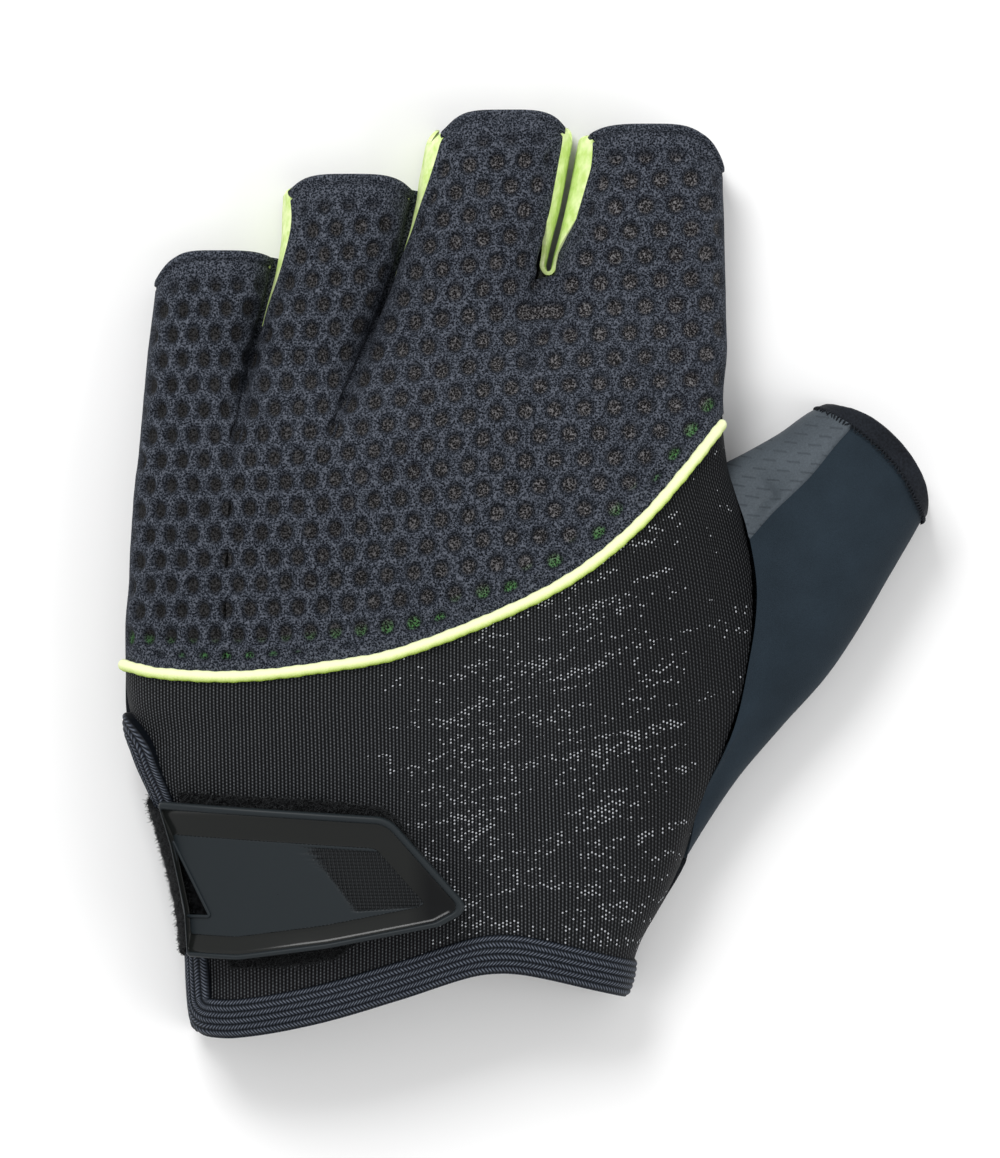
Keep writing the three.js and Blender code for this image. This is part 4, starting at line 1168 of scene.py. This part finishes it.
# Wrist binding: one closed band along the wrist edge, round the corners and round the slit
def binding_stations():
    half = SLIT_GAP / 2
    wide = half + BINDING_WIDTH
    last, first = float(turn_at(0.0, wide)), float(turn_at(0.0, -wide))
    under_turns = np.linspace(first, 2 * math.pi + SEAM_ANGLE, 170)
    hem, under = (
        [(turn, np.nan, 0.0, np.nan, BINDING_WIDTH) for turn in turns]
        for turns in (np.linspace(-SEAM_ANGLE, last, 170), under_turns)
    )

    def side(sign):
        run = []
        for a in np.linspace(0, math.pi / 2, 14):
            edge = sign * (half + SLIT_CORNER * (1 - math.sin(a)))
            run.append((np.nan, edge, SLIT_CORNER * (1 - math.cos(a)), sign * wide, BINDING_WIDTH))
        for share in np.linspace(0, 1, 60)[1:]:
            low, high = lerp(SLIT_CORNER, SLIT_TOP, share), lerp(BINDING_WIDTH, SLIT_TOP, share)
            run.append((np.nan, sign * half, low, sign * wide, high))
        return run

    loop = []
    for a in np.linspace(0, math.pi, 42)[1:-1]:
        c, s = math.cos(a), math.sin(a)
        loop.append((np.nan, half * c, SLIT_TOP + half * s, wide * c, SLIT_TOP + wide * s))
    return np.array(hem + side(1) + loop + side(-1)[::-1] + under)


CORDS = 6
CORD_RISE = 0.28
BINDING_RISE = 0.75
BINDING_WALL = 1.9


def make_binding(material):
    stations = binding_stations()[:, :, None]
    turn, distance, height, inner_distance, inner_height = (stations[:, k] for k in range(5))
    share = np.linspace(-0.05, 1.0, 43)[None, :]
    heights = lerp(height, inner_height, share)
    by_turn = ~np.isnan(turn) & np.ones(share.shape, bool)
    distances = np.where(by_turn, 0.0, lerp(distance, inner_distance, share))
    turns = np.where(by_turn, turn, 0.0)

    def point_at(y):
        return round_point(y, np.where(by_turn, turns, turn_at(y, distances)))

    def line_at(x):
        return wrist_y(x, by_turn & (turns > math.pi)) + heights

    points = on_line(point_at, line_at, heights + 0.01)
    normal = normals(points, flip=True, ring=True)
    inside = np.clip(share, 0, 1)
    cord = np.abs(np.sin(math.pi * CORDS * inside)) ** 0.7
    lift = BINDING_RISE * np.sin(math.pi * np.clip(share * 0.94 + 0.03, 0, 1)) ** 0.5 + CORD_RISE * cord - 0.1
    outer = above_floor(points + normal * np.broadcast_to(lift, points.shape[:2])[..., None])
    run = run_length(points, 0)
    uv = point(run[:, 20:21], share * CORDS, 0.0)[..., :2]
    shape = Shape()
    shape.add_sheet(outer, normal, BINDING_WALL, uv, ring=True, flip=True)
    shape.make("binding_band", material, ["wrist_binding"])


# Point over the back at a place in plan and an offset along the surface normal
def over(x, y, offset):
    px, py = np.array(x, float), np.array(y, float)
    for _ in range(8):
        normal = back_normal(py, angle_across(py, px, True))
        px, py = x - offset * normal[..., 0], y - offset * normal[..., 1]
    base = back_point(py, angle_across(py, px, True))
    return base + normal * np.broadcast_to(offset, px.shape)[..., None], normal


def between_lines(top, bottom, p, q):
    x = PALM_WIDTH * lerp(read(top, p, "x", "s"), read(bottom, p, "x", "s"), q)
    y = GLOVE_LENGTH * lerp(read(top, p, "y", "s"), read(bottom, p, "y", "s"), q)
    return x, y


HAIR_SINK = 0.2


# Random places on a surface where it is marked, spread a little and sunk into it
def scattered(points, normal, where, count, spread, random):
    chosen = random.choice(np.nonzero(where.reshape(-1))[0], count)
    place, up = points.reshape(-1, 3)[chosen], normal.reshape(-1, 3)[chosen]
    return place + random.uniform(-spread, spread, (count, 3)) - up * HAIR_SINK, up


# Fine hairs with three sides, standing on given points
def add_hairs(shape, base, normal, length, radius, seed):
    random = np.random.default_rng(seed)
    count = len(base)
    way = unit(normal + random.normal(0, 0.75, (count, 3)))
    bend = random.normal(0, 0.5, (count, 3))
    size = (length * random.uniform(0.5, 1.3, count))[:, None]
    helper = unit(np.cross(way, np.array([0.3, 0.5, 0.8])))
    other = np.cross(way, helper)
    rings = []
    for share, thin in ((0.0, 1.0), (0.5, 0.9), (1.0, 0.5)):
        middle = base + way * size * share + bend * size * share * share * 0.6
        for k in range(3):
            a = FULL_TURN * k / 3
            rings.append(middle + (helper * math.cos(a) + other * math.sin(a)) * radius * thin)
    faces = []
    for level in range(2):
        for k in range(3):
            a, b = level * 3 + k, level * 3 + (k + 1) % 3
            faces.append((a, b, b + 3, a + 3))
    faces = (np.arange(count)[:, None, None] * 9 + np.array(faces)[None]).reshape(-1, 4)
    shape.add(np.stack(rings, axis=1), faces, mark=1.0)


# Signed distance inside a convex outline whose corners run clockwise
def depth_inside(corners, x, y):
    corners = np.asarray(corners, float)
    depth = np.full(np.shape(x), 1e9)
    for a, b in zip(corners, np.roll(corners, -1, axis=0)):
        d = unit(b - a)
        depth = np.minimum(depth, (x - a[0]) * d[1] - (y - a[1]) * d[0])
    return depth


# Tab outline: corners clockwise, their radius, and the share of the bevel's width on the edge that follows
TAB_CORNERS = table(
    "x y radius bevel",
    (-48.7, 42.5, 0.9, 1.00),
    (-7.2, 39.9, 6.0, 0.95),
    (7.4, 23.4, 2.4, 0.85),
    (1.8, 20.4, 4.0, 0.72),
    (-18.0, 16.5, 40.0, 0.72),
    (-34.2, 14.3, 12.0, 0.72),
    (-43.4, 14.7, 1.0, 0.17),
    (-43.9, 23.0, 12.0, 0.17),
    (-46.3, 34.4, 30.0, 0.17),
)
TAB_BEVEL = 5.8
TAB_PROFILE = table(
    "share height",
    (0.000, -1.70),
    (0.000, 0.90),
    (0.000, 1.90),
    (0.015, 2.35),
    (0.050, 2.60),
    (0.090, 2.70),
    (0.150, 2.70),
    (0.190, 2.60),
    (0.225, 2.25),
    (0.240, 2.05),
    (0.400, 1.85),
    (0.600, 1.60),
    (0.800, 1.38),
    (0.930, 1.24),
    (0.960, 1.26),
    (1.000, 1.38),
)
TAB_BASE_LIFT = 2.9
TAB_GRIP = ((-22.0, 34.7), (-8.3, 33.9), (-0.9, 24.8), (-1.8, 23.7), (-13.1, 22.9))
TAB_GRIP_DEPTH = 0.28
TAB_WINDOW = ((-45.9, 35.6), (-39.1, 22.0), (-43.6, 22.0))
TAB_WINDOW_CORNER = 0.7
TAB_RIM_LIFT = 1.45
TAB_RIM_RADIUS = 0.32
TAB_FIELD_RINGS = 60
CORNER_STEPS = 12
EDGE_CELLS = 16


def tab_corners():
    return np.stack([TAB_CORNERS["x"], TAB_CORNERS["y"]], axis=-1)


# Corner rounded by a curve from a point before it to a point after it
def rounded(start, corner, end, steps):
    u = np.linspace(0, 1, steps)[:, None]
    return (1 - u) ** 2 * start + 2 * u * (1 - u) * corner + u * u * end


# Tab outline, moved inwards by a depth times each edge's share of the bevel
def tab_ring(depth):
    corners = tab_corners()
    way = unit(np.roll(corners, -1, axis=0) - corners)
    inward = np.stack([way[:, 1], -way[:, 0]], axis=-1)
    base = corners + inward * (depth * TAB_CORNERS["bevel"])[:, None]
    moved = []
    for k in range(len(corners)):
        reach = np.linalg.solve(np.stack([way[k - 1], -way[k]], axis=1), base[k] - base[k - 1])
        moved.append(base[k - 1] + way[k - 1] * reach[0])
    ring = []
    for k, here in enumerate(moved):
        back, ahead = moved[k - 1] - here, moved[(k + 1) % len(moved)] - here
        sizes = np.linalg.norm(back), np.linalg.norm(ahead)
        turn = math.acos(np.clip(-np.dot(back, ahead) / (sizes[0] * sizes[1]), -1, 1))
        radius = max(TAB_CORNERS["radius"][k] - depth * 0.6, 0.5)
        reach = min(radius * math.tan(turn / 2), 0.45 * min(sizes))
        ring.extend(rounded(here + unit(back) * reach, here, here + unit(ahead) * reach, CORNER_STEPS))
    closed = ring + ring[:1]
    fine = []
    for k in range(len(ring)):
        cells = EDGE_CELLS if k % CORNER_STEPS == CORNER_STEPS - 1 else 1
        fine.extend(lerp(closed[k], closed[k + 1], u) for u in np.arange(cells) / cells)
    return np.array(fine)


# Rim round the tab's window
def add_window_rim(shape):
    window = np.array(TAB_WINDOW)
    rim = []
    for k in range(3):
        here, ahead = window[k], window[(k + 1) % 3]
        forward = unit(ahead - here) * TAB_WINDOW_CORNER
        start = here + unit(window[k - 1] - here) * TAB_WINDOW_CORNER
        rim.extend(rounded(start, here, here + forward, 6))
        rim.extend(lerp(here + forward, ahead - forward, u) for u in np.linspace(0, 1, 14)[1:-1])
    rim = np.array(rim)
    line, up = over(rim[:, 0], rim[:, 1], TAB_BASE_LIFT + TAB_RIM_LIFT)
    ring, _ = tube(line, up, TAB_RIM_RADIUS, 8, closed=True)
    shape.add_tube(np.concatenate([ring, ring[:1]]))


def make_tab(material):
    share, height = TAB_PROFILE["share"], TAB_PROFILE["height"]
    rings = [tab_ring(depth) for depth in share * TAB_BEVEL]
    edge, centre = rings[-1], rings[-1].mean(axis=0)
    field = [lerp(edge, centre, inward * 0.995) for inward in np.linspace(0, 1, TAB_FIELD_RINGS)[1:]]
    plan = np.array(rings + field)
    heights = np.append(height, np.full(len(field), height[-1]))[:, None]
    channel = np.append((share > 0.23) & (share < 0.97), np.zeros(len(field)))[:, None]
    x, y = plan[..., 0], plan[..., 1]
    grip = smooth(depth_inside(TAB_GRIP, x, y) / 0.35)
    surface, _ = over(x, y, TAB_BASE_LIFT + heights - TAB_GRIP_DEPTH * grip)
    mark = np.maximum(channel * 2, grip)
    rows, count = x.shape
    faces = grid_faces(count, rows, ring=True)
    middle = plan.swapaxes(0, 1).reshape(-1, 2)[faces].mean(axis=1)
    in_field = (faces[:, 0] % rows) >= len(rings) - 1
    in_window = in_field & (depth_inside(TAB_WINDOW, middle[:, 0], middle[:, 1]) > 0)
    shape = Shape()
    shape.add(surface.swapaxes(0, 1), faces[~in_window], plan.swapaxes(0, 1), mark.T)
    add_window_rim(shape)
    shape.make("tab", material, ["strap_tab"])


PILE_CELLS = (150, 70)
PILE_WALL = 0.6
PILE_LIFT = 0.9
PILE_HAIRS = 5200
STRAP_CELLS = (90, 80)
STRAP_WALL = 0.9
STRAP_START = 0.2
STRAP_REACH = 17.0
STRAP_HAIRY = 7.5
STRAP_HAIRS = 4200


def make_pile_patch(material, random):
    i, j = grid(*PILE_CELLS)
    x, y = between_lines(PATCH_TOP, PATCH_BOTTOM, i, j)
    points, normal = over(x, y, PILE_LIFT + 0.18 * soft_noise(x, y, size=1.3, seed=21))
    shape = Shape()
    shape.add_sheet(points, normal, PILE_WALL, flip=True)
    shown = depth_inside(tab_corners(), points[..., 0], points[..., 1]) < 1.2
    base, up = scattered(points, normal, shown, PILE_HAIRS, 0.25, random)
    add_hairs(shape, base, up, length=0.95, radius=0.06, seed=32)
    shape.make("pile_patch", material, ["loop_patch"])


def make_strap(material, random):
    i, j = grid(*STRAP_CELLS)
    distance = lerp(STRAP_START, STRAP_REACH, i)
    narrow = smooth(distance / 8)
    y = GLOVE_LENGTH * lerp(lerp(0.086, 0.104, narrow), lerp(0.262, 0.244, narrow), j)
    points = round_point(y, turn_at(y, distance))
    normal = normals(points)
    lift = lerp(0.5, 2.2, smooth((distance - STRAP_START) / 4))
    lift += 0.15 * soft_noise(y, distance, size=1.5, seed=22)
    outer = above_floor(points + normal * lift[..., None])
    shape = Shape()
    shape.add_sheet(outer, normal, STRAP_WALL)
    hairy = (distance < STRAP_HAIRY) & (outer[..., 2] > 1.5)
    base, up = scattered(outer, normal, hairy, STRAP_HAIRS, 0.2, random)
    add_hairs(shape, base, up, length=0.6, radius=0.055, seed=33)
    shape.make("strap", material, ["strap_base"])


# Finishes
def mesh_finish():
    f = Finish("mesh_cloth", (0.020, 0.024, 0.032), 0.8)
    place, mark = f.place(), f.mark()
    x, from_piping = f.uv()
    fine = f.noise(place, 4.2, 2.0, 0.7)
    knit = f.value("ShaderNodeTexVoronoi", {"Vector": place, "Scale": 2.7}, "Distance")
    speck = fine * 0.75 + knit * 0.4
    rim_colors = (0.001, 0.001, 0.002), (0.016, 0.020, 0.028), (0.098, 0.108, 0.132)
    rim = f.ramp(speck, *zip((0.40, 0.55, 0.72), rim_colors))
    floor_colors = (0.001, 0.001, 0.001), (0.018, 0.017, 0.018), (0.17, 0.165, 0.17)
    floor = f.ramp(speck, *zip((0.42, 0.58, 0.74), floor_colors))
    dark = f.ramp(speck, (0.42, (0.001, 0.001, 0.001)), (0.74, (0.030, 0.030, 0.031)))
    to_right = f.ramp((x + 50.0) / 100.0, (0.05, 0.0), (0.75, 1.0))
    floor = f.mix(to_right, dark, floor)
    near = f.ramp(from_piping / 10.0, (0.30, 1.0), (0.62, 0.0))
    bright = f.ramp(speck, (0.54, 0.0), (0.62, 1.0))
    floor = f.mix(near * (bright * 0.8), floor, (0.06, 0.22, 0.05))
    cloth = f.mix(f.ramp(mark, (0.5, 0.0), (0.9, 1.0)), rim, floor)
    # Painted shade: the walls of the dimples, between the rim and the floor, are darkened in colour.
    wall = f.ramp(mark, (0.10, 0.0), (0.40, 1.0), (0.60, 1.0), (0.95, 0.0))
    f.color(f.mix(wall * 0.5, cloth, (0.003, 0.0035, 0.005)))
    f.bump(speck, 0.18, 0.9)
    f.set(specular_ior_level=0.06)
    return f.material


def knit_finish():
    f = Finish("ribbed_knit", (0.02, 0.021, 0.023), 0.6)
    u, v = f.uv()
    column = (u + 0.5).floor()
    staggered = v + column * 0.5
    rib = (u * FULL_TURN).cosine() * 0.5 + 0.5
    course = (staggered * FULL_TURN).cosine() * 0.5 + 0.5
    stitch = rib**1.4 * (course * 0.6 + 0.4)
    cell = f.join(column, (staggered + 0.5).floor())
    random = f.value("ShaderNodeTexWhiteNoise", {"Vector": cell}, "Value", noise_dimensions="3D")
    field = f.noise(f.join(u * 0.05, v * 0.30), 1.0, 2.0, 0.6)
    side = (u + 45.0) / 130.0
    field = field - f.ramp(side, (0.08, 0.35), (0.30, 0.05), (0.45, 0.0), (0.80, 0.02), (1.0, 0.14))
    lit = random < f.ramp(field, (0.46, 0.0), (0.62, 0.55))
    spark = lit * (rib * course > 0.5)
    level = stitch * (f.noise(f.place(), 4.0, 2.0) * 1.2 + 0.3)
    colors = (0.001, 0.001, 0.0015), (0.022, 0.024, 0.027), (0.130, 0.137, 0.145)
    cloth = f.ramp(level, *zip((0.05, 0.40, 1.0), colors))
    cloth = f.mix(f.ramp(side, (0.6, 0.0), (0.85, 0.45)), cloth, (0.001, 0.001, 0.0015))
    f.color(f.mix(spark, cloth, (0.50, 0.52, 0.55)))
    f.bump(stitch, 0.28, 0.9)
    f.set(specular_ior_level=0.1)
    return f.material


def plain_finish(name, color, roughness, grain_mm, depth_mm, spread, sheen=0.0):
    f = Finish(name, color, roughness)
    place = f.place()
    fine = f.noise(place, 1 / grain_mm)
    level = fine * 0.6 + f.noise(place, 0.12) * 0.4
    dark = tuple(c * (1 - spread) for c in color)
    light = tuple(min(1.0, c * (1 + spread)) for c in color)
    f.color(f.ramp(level, (0.35, dark), (0.65, light)))
    f.bump(fine, depth_mm, 0.8)
    f.set(sheen_weight=sheen, sheen_roughness=0.45, specular_ior_level=0.12)
    return f


# Short pressed dashes in staggered rows
def patch_finish():
    f = plain_finish("grip_patch", (0.064, 0.077, 0.090), 0.6, 0.35, 0.03, 0.18)
    u, v = f.uv()
    across = (v + u * 0.10) / 1.7
    shifted = ((u + v * 0.12) / 4.2 + across.floor() * 0.5).fraction()
    groove = 1.0 - (abs(across.fraction() - 0.5) / 0.16).at_most(1.0)
    dash = (abs(shifted - 0.5) < 0.27) * groove
    base = f.shader.inputs["Base Color"].links[0].from_socket
    f.color(f.mix(dash * 0.35, base, (0.022, 0.026, 0.032)))
    f.bump(1.0 - dash, 0.12, 0.8)
    return f.material


def gusset_finish(name, low, high):
    f = Finish(name, high, 0.55)
    place = f.place()
    f.color(f.ramp(f.noise(place, 0.5, 2.0), (0.35, low), (0.7, high)))
    f.bump(f.noise(place, 5.0, 2.0), 0.05, 0.5)
    f.set(specular_ior_level=0.2)
    return f.material


def piping_finish():
    f = Finish("piping_cloth", (0.8, 0.86, 0.45), 0.5)
    fine = f.noise(f.place(), 3.0, 2.0)
    level = f.mark() + (fine - 0.5) * 0.3
    # Painted light: pale yellow where the mark is low, on the side of the cord towards +y, is a highlight.
    # Dark lime where it is high, on the side towards -y, is shade. The lime between is the cord's own colour.
    colors = (0.83, 0.88, 0.52), (0.62, 0.76, 0.22), (0.28, 0.44, 0.03)
    f.color(f.ramp(level, *zip((0.45, 0.8, 1.0), colors)))
    f.bump(fine, 0.08, 0.6)
    f.set(specular_ior_level=0.2)
    return f.material


def binding_finish():
    f = Finish("elastic_braid", (0.028, 0.034, 0.048), 0.6)
    u, v = f.uv()
    half_turns = v * math.pi
    lean = half_turns.cosine() * 0.35
    wave = ((u + lean) * (FULL_TURN / 0.62)).cosine()
    weave = (wave * 0.5 + 0.5) * abs(half_turns.sine())
    level = weave * (f.noise(f.place(), 3.0, 2.0) + 0.4)
    colors = (0.001, 0.002, 0.004), (0.024, 0.030, 0.042), (0.130, 0.146, 0.180)
    f.color(f.ramp(level, *zip((0.02, 0.4, 0.95), colors)))
    f.bump(weave, 0.12, 0.7)
    f.set(specular_ior_level=0.12)
    return f.material


def pile_finish():
    f = Finish("brushed_pile", (0.012, 0.012, 0.013), 0.6)
    grain = f.noise(f.place(), 1.6)
    ground = f.ramp(grain, (0.35, (0.001, 0.001, 0.0015)), (0.75, (0.010, 0.011, 0.012)))
    f.color(f.mix(f.mark(), ground, (0.034, 0.036, 0.038)))
    f.bump(grain, 0.3, 0.8)
    f.set(specular_ior_level=0.1)
    return f.material


# The mark is 2 in the channel round the field and up to 1 on the grip
def tab_finish():
    f = Finish("moulded_tab", (0.035, 0.04, 0.044), 0.42)
    mark = f.mark()
    channel = mark > 1.5
    grip = (1.0 - channel) * mark.at_most(1.0)
    u, v = f.uv()
    rib = ((u + v * 0.15) * (FULL_TURN / 0.72)).cosine()
    bead = (v * (FULL_TURN / 0.6)).cosine()
    relief = rib * 0.5 + bead * 0.25
    fine = f.noise(f.place(), 4.0, 2.0)
    field = f.ramp(fine, (0.3, (0.012, 0.0165, 0.0195)), (0.7, (0.0135, 0.018, 0.021)))
    dark = f.mix(relief * 0.5 + 0.5, (0.001, 0.0015, 0.002), (0.014, 0.016, 0.018))
    # Painted shade: the channel darkens from x = -4 mm and is near black from x = 0 to the right end of the
    # tab, which tilts away from the light.
    end = f.ramp((u + 10.0) / 20.0, (0.3, 0.0), (0.5, 1.0))
    bevel = f.mix(end, (0.010, 0.011, 0.0105), (0.001, 0.0015, 0.002))
    f.color(f.mix(channel, f.mix(grip, field, dark), bevel))
    f.set(specular_ior_level=0.22)
    f.feed(f.shader.inputs["Roughness"], 0.45 - channel * 0.27)
    f.bump(grip * relief, 0.3, 0.9)
    f.bump(fine, 0.015, 0.5)
    return f.material


# Pieces
soft = {"roughness": 0.9, "depth_mm": 0.08, "sheen": 0.04}
rough = {"roughness": 0.85, "depth_mm": 0.15, "sheen": 0.04}
suede = plain_finish("suede", (0.016, 0.0248, 0.034), grain_mm=0.18, spread=0.22, **soft).material
palm_cloth = plain_finish("palm_microfibre", (0.014, 0.016, 0.019), grain_mm=0.3, spread=0.3, **soft).material
hem_cloth = plain_finish("turned_hem", (0.010, 0.012, 0.016), grain_mm=0.4, spread=0.5, **rough).material
gusset_cloth = gusset_finish("gusset_stretch", (0.58, 0.76, 0.24), (0.84, 0.94, 0.52))
pile_cloth = pile_finish()
pile_random = np.random.default_rng(31)

make_mesh_panel(mesh_finish())
make_knit_panel(knit_finish())
make_piping(piping_finish())
make_palm(palm_cloth)
for index, name in enumerate(("little_ring", "ring_middle", "middle_index")):
    make_gusset(index, name, gusset_cloth)
make_thumb_suede(suede)
make_grip_patch(patch_finish())
make_thumb_hem(hem_cloth)
make_binding(binding_finish())
make_tab(tab_finish())
make_pile_patch(pile_cloth, pile_random)
make_strap(pile_cloth, pile_random)

# Floor and light
FLOOR_HALF = 1.5
FLOOR_DROP = 0.0002
LIGHT_AIM = (0, 0, 0.01)

floor_mesh = bpy.data.meshes.new("floor")
floor_corners = [(x * FLOOR_HALF, y * FLOOR_HALF, 0) for x, y in ((-1, -1), (1, -1), (1, 1), (-1, 1))]
floor_mesh.from_pydata(floor_corners, [], [(0, 1, 2, 3)])
floor_mesh.materials.append(Finish("floor_paper", (0.9, 0.9, 0.9), 0.9).material)
floor = bpy.data.objects.new("floor", floor_mesh)
floor.location.z = -FLOOR_DROP
bpy.context.scene.collection.objects.link(floor)

world = bpy.data.worlds.new("studio")
world.use_nodes = True
background = world.node_tree.nodes["Background"]
background.inputs["Color"].default_value = (1.0, 1.0, 1.0, 1)
background.inputs["Strength"].default_value = 0.75
bpy.context.scene.world = world


def add_light(name, place, size, power):
    data = bpy.data.lights.new(name, "AREA")
    data.size = size
    data.energy = power
    lamp = bpy.data.objects.new(name, data)
    lamp.location = place
    lamp.rotation_euler = (Vector(LIGHT_AIM) - Vector(place)).to_track_quat("-Z", "Y").to_euler()
    bpy.context.scene.collection.objects.link(lamp)


add_light("key", (-0.35, 0.75, 0.9), size=0.5, power=9.0)
add_light("fill", (0.8, -0.3, 0.8), size=0.6, power=3.0)

bpy.context.scene.view_settings.view_transform = "Standard"
